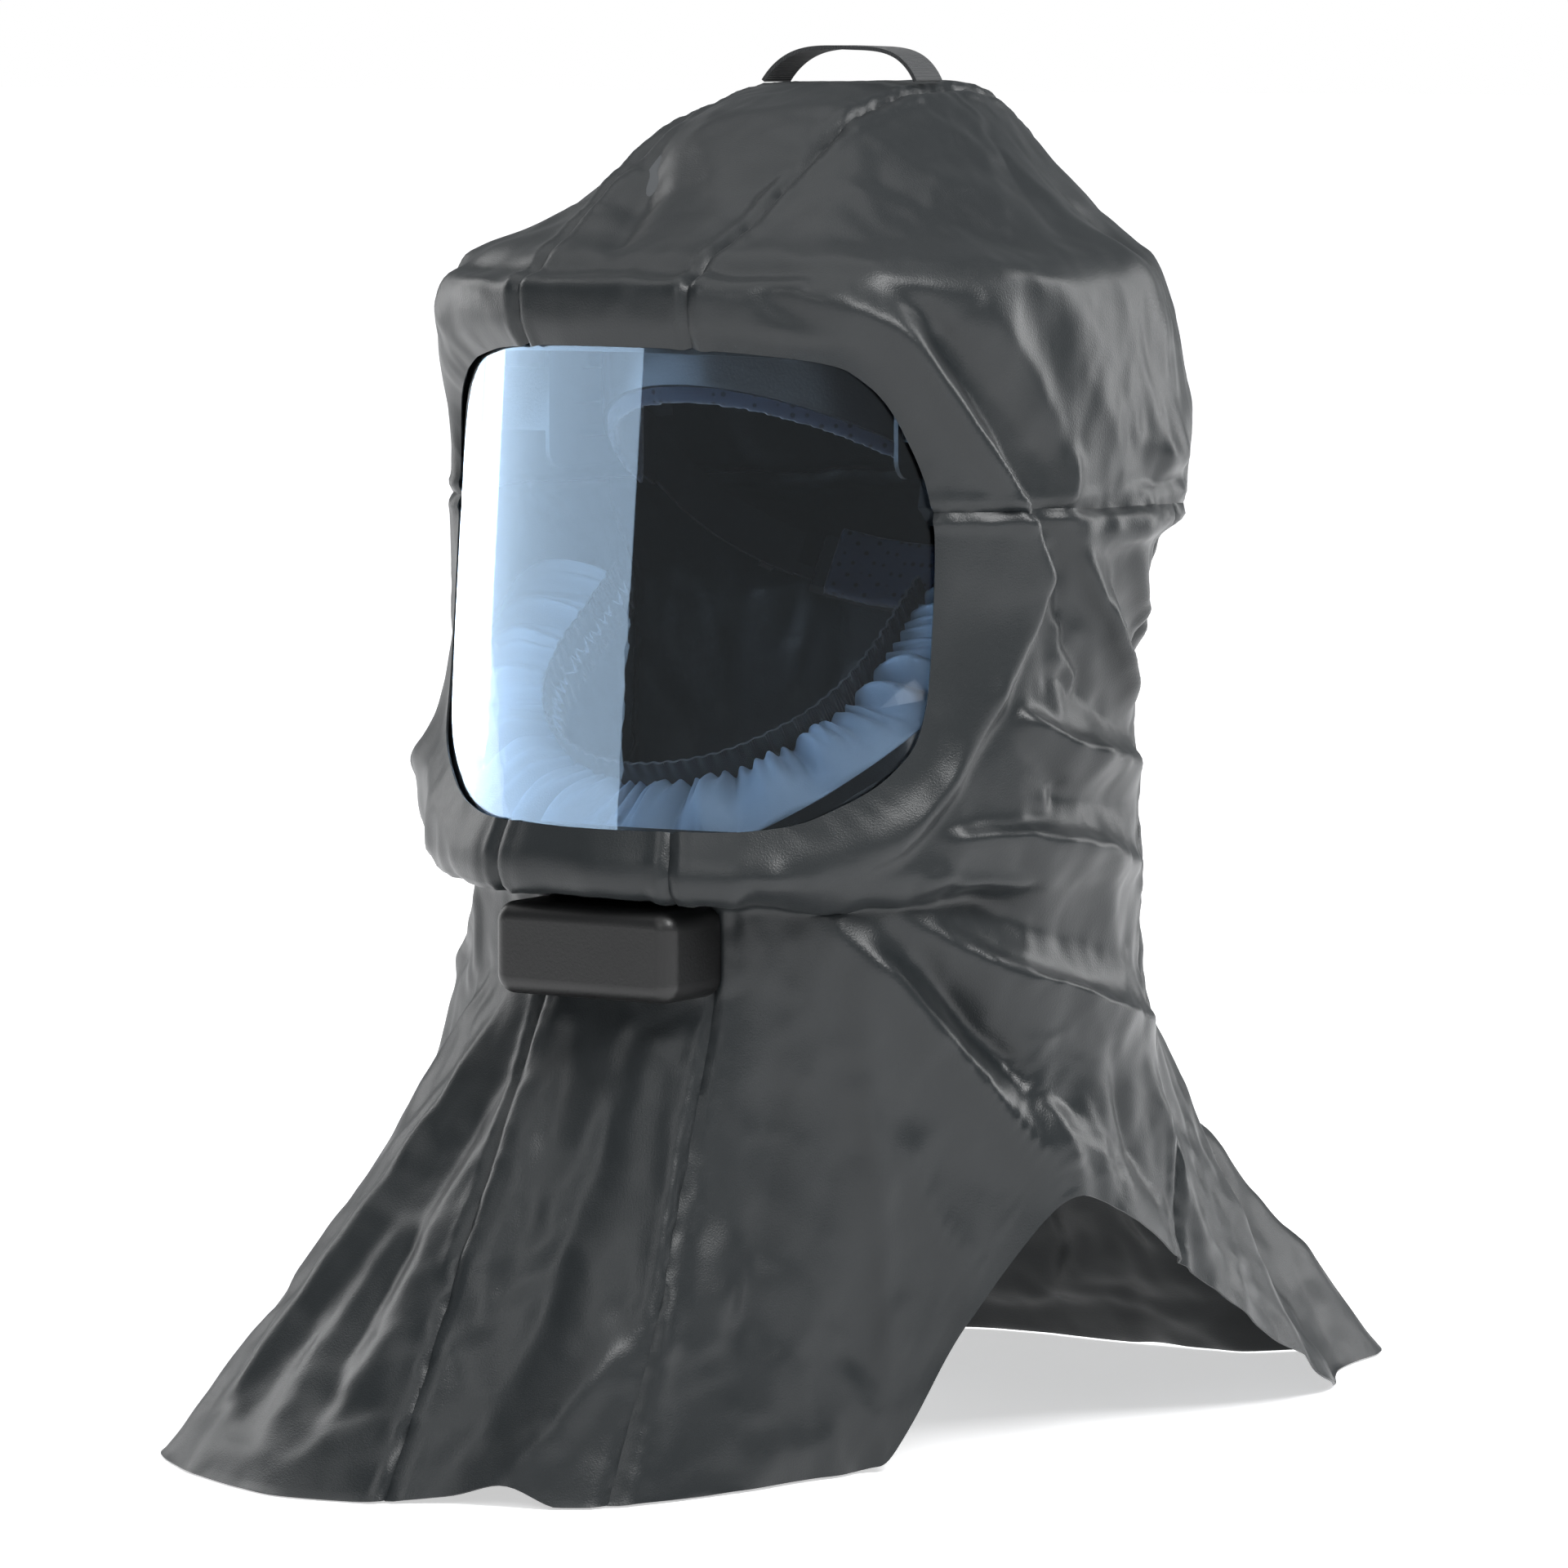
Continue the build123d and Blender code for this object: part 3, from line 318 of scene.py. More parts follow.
def hermite(knots, values, at):
    """A smooth curve through the values that never overshoots between two of them."""
    knots, values = np.asarray(knots, float), np.asarray(values, float)
    step = np.diff(knots)
    rise = np.diff(values) / step
    slope = np.zeros(len(knots))
    slope[0], slope[-1] = rise[0], rise[-1]
    same = rise[:-1] * rise[1:] > 0
    slope[1:-1][same] = 2 * rise[:-1][same] * rise[1:][same] / (rise[:-1] + rise[1:])[same]
    at = np.clip(at, knots[0], knots[-1])
    i = np.clip(np.searchsorted(knots, at, side="right") - 1, 0, len(knots) - 2)
    t = (at - knots[i]) / step[i]
    return (
        values[i] * (1 + 2 * t) * (1 - t) ** 2
        + slope[i] * step[i] * t * (1 - t) ** 2
        + values[i + 1] * t * t * (3 - 2 * t)
        + slope[i + 1] * step[i] * t * t * (t - 1)
    )


def periodic(angles, values, at):
    """The same smooth curve, round a full turn of angles in degrees."""
    angles, values = list(angles), list(values)
    wrap = 3
    knots = [a - 360 for a in angles[-wrap:]] + angles + [a + 360 for a in angles[:wrap]]
    return hermite(knots, values[-wrap:] + values + values[:wrap], at)


# ---------------------------------------------------------------- the hood's shape, in millimetres
# Cross-sections above the neck: height, half width, middle, reach to the front and to the back of
# that middle, and how square the front and the back are.
SECTIONS = [
    (195, 137, 0, 141, 116, 2.0, 2.0),
    (230, 137, 0, 143, 110, 2.0, 2.0),
    (239, 138, 0, 173, 111, 2.0, 2.0),
    (262, 139, 0, 173, 113, 2.0, 1.9),
    (300, 139, 0, 170, 119, 2.0, 1.7),
    (342, 138, 0, 166, 131, 2.0, 1.6),
    (367, 140, 0, 163, 150, 2.0, 1.8),
    (385, 141, 0, 162, 165, 2.0, 2.0),
    (411, 141, 0, 160, 182, 2.0, 2.0),
    (450, 139, 0, 157, 172, 2.1, 2.0),
    (472, 135, 0, 156, 161, 2.3, 2.0),
    (482, 126, 0, 149, 158, 2.4, 2.0),
    (492, 108, 2, 130, 152, 2.2, 2.0),
    (507, 90, 6, 108, 138, 2.0, 2.0),
    (525, 71, 16, 94, 106, 2.0, 2.0),
    (540, 54, 28, 82, 82, 2.0, 2.0),
    (549, 40, 34, 54, 62, 2.2, 2.2),
    (552, 30, 36, 42, 50, 2.2, 2.2),
    (552.6, 1, 38, 1, 1, 2.0, 2.0),
]
NECK_Z = 195.0
# The hem: angle from the front towards the wearer's left, reach from the axis, height off the floor.
HEM = [
    (-165, 248, 0), (-150, 232, 0), (-135, 205, 26), (-118, 178, 80), (-100, 168, 106), (-85, 172, 74),
    (-70, 190, 0), (-55, 224, 0), (-38, 279, 0), (-20, 277, 0), (-11, 262, 0), (-5, 243, 3), (1, 236, 8),
    (7, 226, 0), (17, 190, 0), (31, 142, 0), (45, 118, 4), (60, 131, 62), (76, 170, 110), (90, 172, 96),
    (106, 166, 74), (118, 186, 52), (132, 214, 22), (145, 238, 0), (153, 262, 0), (159, 303, 0),
    (166, 252, 0), (180, 240, 0),
]
# The grid of the cloth: degrees round and millimetres up.
STEP_ROUND, STEP_UP = 1.5, 4.2
CROWN_MIDDLE_Y = 38

table = np.array(SECTIONS, float)
mean_reach = (2 * table[:, 1] + table[:, 3] + table[:, 4]) / 4
profile_run = np.concatenate([[0], np.cumsum(np.hypot(np.diff(mean_reach), np.diff(table[:, 0])))])
hem_table = np.array(HEM, float)


def superellipse(angle, half, front, back, front_power, back_power):
    """Reach at an angle from the front of a section with unlike front and back."""
    s, c = np.abs(np.sin(angle)), np.abs(np.cos(angle))
    ahead = np.cos(angle) > 0
    reach = np.where(ahead, front, back)
    power = np.where(ahead, front_power, back_power)
    return ((s / half) ** power + (c / reach) ** power) ** (-1 / power)


def upper_point(angle, run):
    """Base surface above the neck, at an angle in degrees and a distance up the profile."""
    a = np.radians(angle)
    z, half, middle, front, back, fp, bp = (hermite(profile_run, table[:, k], run) for k in range(7))
    reach = superellipse(a, half, front, back, fp, bp)
    return np.stack([reach * np.sin(a), middle - reach * np.cos(a), z], -1)


def lower_point(angle, share):
    """Base surface below the neck; share runs from the hem at 0 to the neck at 1."""
    a = np.radians(angle)
    hem_reach, hem_z = (periodic(hem_table[:, 0], hem_table[:, k], angle) for k in (1, 2))
    neck = upper_point(angle, np.zeros_like(angle))
    neck_reach = np.hypot(neck[..., 0], neck[..., 1])
    z = hem_z + (NECK_Z - hem_z) * share
    reach = neck_reach + (hem_reach - neck_reach) * (1 - z / NECK_Z) ** 1.08
    return np.stack([reach * np.sin(a), -reach * np.cos(a), z], -1)


def base_at(angle, z):
    """Base surface at an angle in degrees and a height."""
    angle, z = np.asarray(angle, float), np.asarray(z, float)
    hem_z = periodic(hem_table[:, 0], hem_table[:, 2], angle)
    low = lower_point(angle, np.clip((z - hem_z) / (NECK_Z - hem_z), 0, 1))
    fine = np.linspace(0, profile_run[-1], 400)
    run = np.interp(z, hermite(profile_run, table[:, 0], fine), fine)
    return np.where((z < NECK_Z)[..., None], low, upper_point(angle, run))


# ---------------------------------------------------------------- the visor's window
VISOR_MID_Z, VISOR_LEAN = 341.0, radians(5)
# Half axes of elliptical cylinders: the lens's outer face, the surface that cloth has to stay
# outside of, and the inside of the visor's frame.
LENS_HALF, LENS_DEPTH = 138.2, 165.2
CLEAR_HALF, CLEAR_DEPTH = 140.0, 167.0
FRAME_HALF, FRAME_DEPTH = 132, 159
# The cloth that may lie against the visor: no further across or up than this, and in front of this.
FRAME_ACROSS, FRAME_UP, FRAME_BACK = 133, 111, -20
# Corners of the clear window: across and up, seen square to the visor. The cloth at the wearer's
# left upper corner hangs over it.
WINDOW = [
    (-117, 95), (-117, -40), (-106, -60), (-66, -92), (0, -95), (78, -93), (104, -74), (115, -52),
    (115, 28), (111, 52), (101, 80), (84, 95),
]


def visor_flat(p):
    """A point's across and up coordinates in the visor's plane."""
    up = p[..., 1] * sin(VISOR_LEAN) + (p[..., 2] - VISOR_MID_Z) * cos(VISOR_LEAN)
    return np.stack([p[..., 0], up], -1)


def rounded(points, count):
    """The closed outline with its corners cut back and rounded."""
    ring = np.array(points, float)
    for _ in range(count):
        after = np.roll(ring, -1, 0)
        ring = np.stack([ring * 0.8 + after * 0.2, ring * 0.2 + after * 0.8], 1).reshape(-1, 2)
    return ring


window_ring = rounded(WINDOW, 3)


def window_distance(flat):
    """Signed distance from the window's outline, positive outside, and the nearest point on it."""
    a, b = window_ring, np.roll(window_ring, -1, 0)
    q = flat.reshape(-1, 1, 2)
    along = b - a
    t = np.clip(((q - a) * along).sum(-1) / (along ** 2).sum(-1), 0, 1)
    near = a + t[..., None] * along
    gap = np.linalg.norm(q - near, axis=-1)
    best = gap.argmin(1)
    crosses = (a[:, 1] > q[..., 1]) != (b[:, 1] > q[..., 1])
    cut = a[:, 0] + (q[..., 1] - a[:, 1]) * along[:, 0] / np.where(along[:, 1] == 0, 1e-9, along[:, 1])
    inside = (crosses & (q[..., 0] < cut)).sum(1) % 2 == 1
    index = np.arange(len(best))
    return np.where(inside, -gap[index, best], gap[index, best]), near[index, best]


def on_lens(flat, proud):
    """The point of the lens's outer face, raised by proud, at across and up coordinates."""
    half, depth = LENS_HALF + proud, LENS_DEPTH + proud
    y_local = -depth * np.sqrt(np.clip(1 - (flat[:, 0] / half) ** 2, 0, 1))
    x, up = flat[:, 0], flat[:, 1]
    y = y_local * cos(VISOR_LEAN) + up * sin(VISOR_LEAN)
    z = VISOR_MID_Z - y_local * sin(VISOR_LEAN) + up * cos(VISOR_LEAN)
    return np.stack([x, y, z], -1)


def outside_visor(points):
    """Moves points that lie inside the lens, or just behind its edge, out over it."""
    lean, up_axis = VISOR_LEAN, points[:, 2] - VISOR_MID_Z
    depth = points[:, 1] * cos(lean) - up_axis * sin(lean)
    up = points[:, 1] * sin(lean) + up_axis * cos(lean)
    share = np.hypot(points[:, 0] / CLEAR_HALF, depth / CLEAR_DEPTH)
    near = (np.abs(points[:, 0]) < FRAME_ACROSS) & (np.abs(up) < FRAME_UP) & (depth < FRAME_BACK)
    near &= (share < 1) & (share > 0.5)
    scale = np.where(near, 1 / np.maximum(share, 0.5), 1.0)
    depth = depth * scale
    return np.stack([points[:, 0] * scale, depth * cos(lean) + up * sin(lean),
                     VISOR_MID_Z - depth * sin(lean) + up * cos(lean)], -1)


# The padded-looking roll of cloth round the window ends at this closed contour of angles and
# heights, with how proud the roll stands there.
ROLL_EDGE = [
    (-40, 476, 5), (-20, 476, 5), (0, 478, 5), (20, 477, 5), (36, 474, 6), (47, 460, 8), (56, 426, 11),
    (67, 385, 17), (72, 360, 20), (69, 335, 19), (62, 305, 16), (54, 275, 12), (45, 250, 9), (36, 240, 7),
    (15, 237, 6), (-5, 236, 6), (-25, 237, 7), (-46, 239, 9), (-62, 250, 16), (-72, 275, 20), (-72, 310, 19),
    (-66, 350, 13), (-60, 400, 6), (-52, 445, 5),
]

# Folds, given one by one. Each has a route of angles and heights, how proud it stands, and its reach
# to the left and to the right of the route. Negative folds are valleys.
FOLDS = [
    # crown
    ([(-3, 488), (-10, 507), (-22, 527)], -9, 9, 7),
    ([(-14, 492), (-24, 512), (-40, 532)], 5, 8, 10),
    ([(14, 495), (18, 514), (30, 532), (60, 541)], -2.5, 5, 7),
    ([(26, 492), (40, 505), (62, 512), (85, 505)], 3, 12, 14),
    ([(34, 520), (60, 500), (88, 470)], -3, 16, 12),
    ([(100, 520), (108, 480), (112, 440)], 4, 12, 14),
    ([(120, 515), (126, 470), (126, 430)], -4, 12, 10),
    # cloth that hangs from the brim over the window's upper corner
    ([(30, 482), (43, 466), (50, 436), (58, 408), (66, 388), (71, 377)], 9, 10, 9),
    ([(38, 452), (47, 432), (54, 402), (63, 376)], -4, 6, 6),
    ([(51, 462), (60, 430), (67, 406), (71, 396)], -6, 8, 7),
    ([(58, 470), (68, 440), (75, 412)], 4, 9, 12),
    ([(24, 472), (33, 458)], -6, 6, 6),
    ([(71, 408), (72.5, 380)], -10, 4, 5),
    ([(78, 410), (77, 384)], 6, 5, 8),
    # seam across the side and what gathers under it
    ([(75, 389), (88, 388), (104, 392), (122, 401)], -4, 4, 4),
    ([(78, 377), (92, 374), (110, 380), (124, 390)], 8, 9, 5),
    ([(98, 410), (110, 400), (122, 406)], 6, 8, 6),
    ([(80, 372), (85, 350), (93, 324), (104, 300)], 12, 10, 5),
    ([(88, 366), (95, 342), (106, 318)], -7, 7, 6),
    ([(97, 368), (106, 345), (118, 322)], 10, 9, 5),
    ([(73, 348), (76, 326), (86, 304), (104, 290)], -8, 8, 8),
    ([(60, 312), (76, 288), (90, 280), (108, 277)], 13, 5, 10),
    ([(58, 290), (74, 270), (100, 262)], -7, 7, 6),
    ([(48, 256), (66, 254), (84, 246), (106, 236)], 13, 5, 10),
    ([(48, 243), (68, 222), (104, 202)], -8, 8, 9),
    ([(44, 226), (60, 204), (82, 184), (108, 170)], 12, 6, 12),
    ([(30, 236), (42, 205), (56, 166), (67, 136), (72, 120)], 15, 7, 12),
    ([(46, 212), (58, 180), (70, 152), (80, 140)], -9, 9, 8),
    ([(66, 166), (73, 142), (76, 120)], 6, 7, 8),
    ([(88, 170), (92, 135), (97, 104)], -6, 8, 8),
    ([(100, 160), (108, 120), (114, 70)], 7, 9, 9),
    # bib
    ([(-12, 200), (-10, 135), (-6, 46)], 6, 9, 9),
    ([(-24, 190), (-29, 110), (-33, 20)], 7, 11, 11),
    ([(-18, 165), (-20, 80), (-19, 6)], -6, 9, 9),
    ([(39, 214), (43, 120), (46, 50), (44, 6)], 8, 10, 10),
    ([(28, 200), (25, 120), (22, 30)], -7, 13, 13),
    ([(12, 170), (12, 90), (14, 10)], 5, 9, 9),
    ([(2, 150), (0, 70), (-4, 6)], -6, 8, 10),
    ([(10, 66), (4, 26), (1, 0)], 10, 9, 8),
    ([(47, 140), (53, 104), (60, 84)], 6, 7, 8),
    ([(-44, 190), (-50, 110), (-56, 20)], -6, 10, 10),
    ([(-58, 200), (-62, 130), (-66, 40)], 7, 10, 10),
    # the wearer's right side
    ([(-60, 360), (-72, 330), (-92, 300)], 8, 8, 8),
    ([(-58, 335), (-76, 300), (-104, 270)], -7, 8, 8),
    ([(-52, 280), (-72, 262), (-104, 250)], 8, 8, 8),
    ([(-46, 240), (-70, 214), (-110, 190)], -8, 8, 8),
    ([(-40, 226), (-62, 190), (-88, 165)], 9, 9, 9),
    ([(-80, 400), (-100, 376), (-120, 372)], 6, 8, 8),
    ([(-70, 440), (-88, 420), (-112, 415)], -5, 9, 9),
    # cape
    ([(180, 240), (182, 150), (184, 20)], 9, 12, 12),
    ([(160, 220), (160, 120), (159, 5)], 10, 11, 9),
    ([(170, 210), (168, 110), (168, 6)], -9, 9, 9),
    ([(140, 250), (136, 150), (132, 60)], 7, 10, 10),
    ([(150, 190), (149, 90), (150, 5)], -8, 8, 8),
    ([(200, 250), (204, 150), (208, 30)], -8, 12, 12),
    ([(216, 260), (220, 160), (222, 50)], 8, 12, 12),
    ([(128, 350), (150, 330), (175, 335)], -7, 8, 8),
    ([(130, 310), (155, 290), (185, 300), (210, 315)], 7, 8, 9),
    ([(185, 350), (210, 345), (235, 330)], -6, 8, 8),
    ([(125, 270), (150, 245), (178, 262)], -6, 9, 8),
]


def fold_lift(points, normals, route, proud, left, right):
    """How far one fold moves each point. The sides of its route may differ in reach, and a fold
    with one short side leans over it."""
    path = base_at([a for a, _ in route], [z for _, z in route])
    lengths = np.linalg.norm(np.diff(path, axis=0), axis=1)
    start = np.concatenate([[0], np.cumsum(lengths)])
    best = np.full(len(points), 1e9)
    along = np.zeros(len(points))
    side = np.zeros(len(points))
    lean = np.zeros((len(points), 3))
    for k, (a, b) in enumerate(zip(path[:-1], path[1:])):
        run = b - a
        t = np.clip(((points - a) @ run) / (run @ run), 0, 1)
        off = points - (a + t[:, None] * run)
        gap = np.linalg.norm(off, axis=1)
        closer = gap < best
        best = np.where(closer, gap, best)
        along = np.where(closer, (start[k] + t * lengths[k]) / start[-1], along)
        beside = np.cross(run / lengths[k], normals)
        side = np.where(closer, -np.einsum("ij,ij->i", beside, off), side)
        lean = np.where(closer[:, None], beside, lean)
    reach = np.where(side > 0, left, right)
    taper = np.clip(np.sin(pi * np.clip(along, 0.02, 0.98)), 0, 1) ** 0.5
    lift = proud * taper * np.exp(-((best / reach) ** 1.3))
    tilt = np.clip((left - right) / (left + right), -0.6, 0.6) * 1.1
    return lift[:, None] * (normals + lean * tilt)


def crumple(points, scale, width, seed):
    """Sharp creases between facets, from 0 to 1, as in stiff coated cloth."""
    shift = Vector((seed * 17.3, seed * 5.1, -seed * 9.7))
    out = np.zeros(len(points))
    for i, p in enumerate(points):
        q = Vector(p / scale) + shift
        near = noise.voronoi(q)[0]
        out[i] = max(0.0, 1 - (near[1] - near[0]) / width) * min(1.0, max(0.0, 0.55 + noise.noise(q * 0.6)))
    return out ** 1.3


def ring_distance(points, edge):
    """Signed distance in space from a closed contour of angles and heights, positive inside it,
    and the values the contour carries at the nearest place."""
    edge = np.array(edge, float)
    ring = base_at(edge[:, 0], edge[:, 1])
    angle = np.degrees(np.arctan2(points[:, 0], -points[:, 1]))
    best = np.full(len(points), 1e9)
    value = np.zeros(len(points))
    inside = np.zeros(len(points), bool)
    for k in range(len(ring)):
        m = (k + 1) % len(ring)
        a, run = ring[k], ring[m] - ring[k]
        t = np.clip(((points - a) @ run) / (run @ run), 0, 1)
        gap = np.linalg.norm(points - (a + t[:, None] * run), axis=1)
        closer = gap < best
        best = np.where(closer, gap, best)
        value = np.where(closer, edge[k, 2] + t * (edge[m, 2] - edge[k, 2]), value)
        low, high = edge[k, 1], edge[m, 1]
        if low != high:
            cut = edge[k, 0] + (points[:, 2] - low) / (high - low) * (edge[m, 0] - edge[k, 0])
            inside ^= ((low > points[:, 2]) != (high > points[:, 2])) & (angle < cut)
    return np.where(inside, best, -best), value


def smoothstep(x):
    """0 up to 0, 1 from 1 on, and smooth in between."""
    x = np.clip(x, 0, 1)
    return x * x * (3 - 2 * x)


def grid_normals(points, rows, columns):
    """Outward normals of a grid that closes round."""
    grid = points.reshape(rows, columns, 3)
    round_it = np.roll(grid, -1, 1) - np.roll(grid, 1, 1)
    up = np.gradient(grid, axis=0)
    normal = np.cross(round_it, up).reshape(-1, 3)
    return normal / np.maximum(np.linalg.norm(normal, axis=1), 1e-9)[:, None]


# Cloth lower than these, or behind this plane, has nothing to do with the window or with its rim.
WINDOW_LOW_Z, RIM_LOW_Z, FRONT_Y = 222, 235, -8
FAR = 200.0  # stands for the window's distance there
RIM_PROUD = 1.4  # how far the cut edge stands off the lens
DEEPEST_VALLEY = 6
ROLL_START = 1.5  # how proud the roll is at the window's edge
ROLL_LIMIT = 150  # no roll as far from the window as this
RIM_LIMIT = 12  # rim points are no further from the window than this
BRIM_Z, SLEEVE_LOW_Z = 482, 245


def bare_surface(angle):
    """The rows of the hood's base surface, from the hem to the crown."""
    low_rows = int(NECK_Z / STEP_UP)
    shares = np.arange(low_rows) / low_rows
    runs = np.arange(0, profile_run[-1], STEP_UP)
    rows = [lower_point(angle, np.full(len(angle), share)) for share in shares]
    return rows + [upper_point(angle, np.full(len(angle), run)) for run in runs]


def folded(base, normals, distance):
    """The base surface with its folds, its creases and the roll round the window."""
    shift = np.zeros((len(base), 3))
    for route, proud, left, right in FOLDS:
        shift += fold_lift(base, normals, route, proud, left, right)
    depth = np.einsum("ij,ij->i", shift, normals)
    shift -= normals * np.minimum(depth + DEEPEST_VALLEY, 0)[:, None]
    # the cloth is plain right beside the window, and pulled flatter above the brim
    clear = smoothstep((distance - 3) / 20)
    tall = np.array([1, 1, 0.5])
    creases = crumple(base * tall, 62, 0.3, 1) * 3.2 + crumple(base * tall, 30, 0.4, 2) * 1.4
    creases *= np.where(base[:, 2] > BRIM_Z, 0.5, 1.0)
    # the roll rises from the window, ends at its contour, and has a valley outside it
    ring, proud = ring_distance(base, ROLL_EDGE)
    roll = ROLL_START + (proud - ROLL_START) * smoothstep(distance / (6 + proud))
    roll *= smoothstep((ring + 2) / 7)
    roll -= 4 * np.exp(-(((ring + 6) / 5) ** 2)) * (base[:, 2] > SLEEVE_LOW_Z)
    roll = np.where(distance < ROLL_LIMIT, roll, 0)
    return outside_visor(base + shift * clear[:, None] + normals * (roll + creases * clear)[:, None])


def open_edges(quads):
    """The ends of the edges that belong to one quad only."""
    edge_count = {}
    for q in quads:
        for k in range(4):
            key = tuple(sorted((q[k], q[(k + 1) % 4])))
            edge_count[key] = edge_count.get(key, 0) + 1
    return {v for key, n in edge_count.items() if n == 1 for v in key}


def build_hood():
    """The whole hood as one sheet with the window cut out, before it is relaxed."""
    columns = int(360 / STEP_ROUND)
    rows = bare_surface((np.arange(columns) + 0.5) * STEP_ROUND - 180)
    base = np.concatenate(rows)
    normals = grid_normals(base, len(rows), columns)
    distance, nearest = window_distance(visor_flat(base))
    by_window = (base[:, 1] < FRONT_Y) & (base[:, 2] > WINDOW_LOW_Z)
    distance = np.where(by_window, distance, FAR)
    shaped = folded(base, normals, distance)

    index = np.arange(len(base)).reshape(len(rows), columns)
    a, b = index[:-1], index[1:]
    quads = np.stack([a, np.roll(a, -1, 1), np.roll(b, -1, 1), b], -1).reshape(-1, 4)
    quads = quads[(distance > 0)[quads].all(1)]
    apex = len(base)
    last = index[-1]
    caps = [(last[i], last[(i + 1) % columns], apex) for i in range(columns)]
    top = [[0, CROWN_MIDDLE_Y, SECTIONS[-1][0]]]
    shaped, base = np.vstack([shaped, top]), np.vstack([base, top])
    distance = np.append(distance, FAR)

    # bring the cut edge onto the window's outline
    edge = np.array(sorted(open_edges(quads)))
    rim = edge[(base[edge, 2] > RIM_LOW_Z) & (base[edge, 1] < FRONT_Y) & (distance[edge] < RIM_LIMIT)]
    shaped[rim] = base[rim] = on_lens(nearest[rim], RIM_PROUD)

    used = np.zeros(len(shaped), bool)
    used[quads.ravel()] = True
    used[apex] = True
    order = -np.ones(len(shaped), int)
    order[used] = np.arange(used.sum())
    faces = [tuple(order[list(q)]) for q in quads.tolist()] + [tuple(order[list(c)]) for c in caps]
    hood = new_object("hood", shaped[used], faces)
    layer = hood.data.attributes.new("rest", "FLOAT_VECTOR", "POINT")
    layer.data.foreach_set("vector", np.ascontiguousarray(base[used] * MM, dtype=np.float32).ravel())
    pinned = np.zeros(len(shaped), bool)
    pinned[rim] = True
    return hood, pinned[used], distance[used], base[used]


# ---------------------------------------------------------------- relaxing the cloth
CLOTH_STEPS = 14
# Where the cloth is held more firmly: above this height, this near the window, this near its rim,
# this near the hem, and this low down.
HEAD_Z, SLEEVE_REACH, RIM_REACH, HEM_REACH, FLOOR_Z = 380, 58, 16, 16, 12
LOOSE, HEAD, SLEEVE, LEFT_SIDE, HEM_EDGE, RIM, FLOOR = 0.11, 0.3, 0.75, 0.35, 0.4, 0.9, 0.55
GROWTH = 0.05


def firmness(pinned, distance, base):
    """How firmly each point is held: 1 is fixed."""
    z = base[:, 2]
    hold = np.full(len(z), LOOSE)
    hold[z > HEAD_Z] = HEAD
    hold[distance < SLEEVE_REACH] = SLEEVE
    side = (base[:, 0] > 70) & (base[:, 1] < 90) & (z > 150) & (z < 400)
    hold[side] = np.maximum(hold[side], LEFT_SIDE)
    angle = np.degrees(np.arctan2(base[:, 0], -base[:, 1]))
    hem_z = periodic(hem_table[:, 0], hem_table[:, 2], angle)
    hold[(z - hem_z < HEM_REACH) & (z < NECK_Z)] = HEM_EDGE
    hold[distance < RIM_REACH] = RIM
    hold[z < FLOOR_Z] = FLOOR
    hold[pinned] = 1.0
    return hold


def relax(hood, pinned, distance, base):
    """Lets the cloth find its own creases: it grows a little and is held softly near its shape."""
    hold = firmness(pinned, distance, base)
    # it grows most 270 mm up, below the face, and not at all beside the window
    amount = np.clip(1 - np.abs(base[:, 2] - 270) / 190, 0.25, 1) * np.clip((distance - 10) / 40, 0, 1)
    pin = hood.vertex_groups.new(name="pin")
    grow = hood.vertex_groups.new(name="grow")
    for i in range(len(hold)):
        pin.add([i], float(hold[i]), "REPLACE")
        grow.add([i], float(amount[i]), "REPLACE")
    cloth = hood.modifiers.new("cloth", "CLOTH").settings
    cloth.quality = 4
    cloth.mass = 0.15
    cloth.tension_stiffness = cloth.compression_stiffness = 20
    cloth.shear_stiffness = 8
    cloth.bending_stiffness = 0.08
    cloth.air_damping = 2
    cloth.vertex_group_mass = "pin"
    cloth.pin_stiffness = 1.5
    cloth.vertex_group_shrink = "grow"
    cloth.shrink_min, cloth.shrink_max = 0.0, -GROWTH
    cloth.effector_weights.gravity = 0.2
    scene = bpy.context.scene
    for step in range(1, CLOTH_STEPS + 1):
        scene.frame_set(step)
    baked(hood)
    scene.frame_set(1)
    hood.vertex_groups.clear()


CROWN_Z = 470  # above it the cloth is pulled flatter


def crease(hood, distance, base):
    """Adds the small sharp creases that are finer than the simulation."""
    count = len(base)
    co, normal = np.empty(count * 3), np.empty(count * 3)
    hood.data.vertices.foreach_get("co", co)
    hood.data.vertices.foreach_get("normal", normal)
    co, normal = co.reshape(-1, 3), normal.reshape(-1, 3)
    tall = np.array([1, 1, 0.6])
    lift = crumple(base * tall, 54, 0.26, 5) * 2.2 - crumple(base * tall, 34, 0.22, 6) * 1.3
    lift += crumple(base, 20, 0.3, 7) * 0.8
    lift *= smoothstep((distance - 6) / 16) * np.where(base[:, 2] > CROWN_Z, 0.6, 1.0)
    co = outside_visor(co / MM + normal * lift[:, None]) * MM
    hood.data.vertices.foreach_set("co", co.ravel())
    hood.data.update()


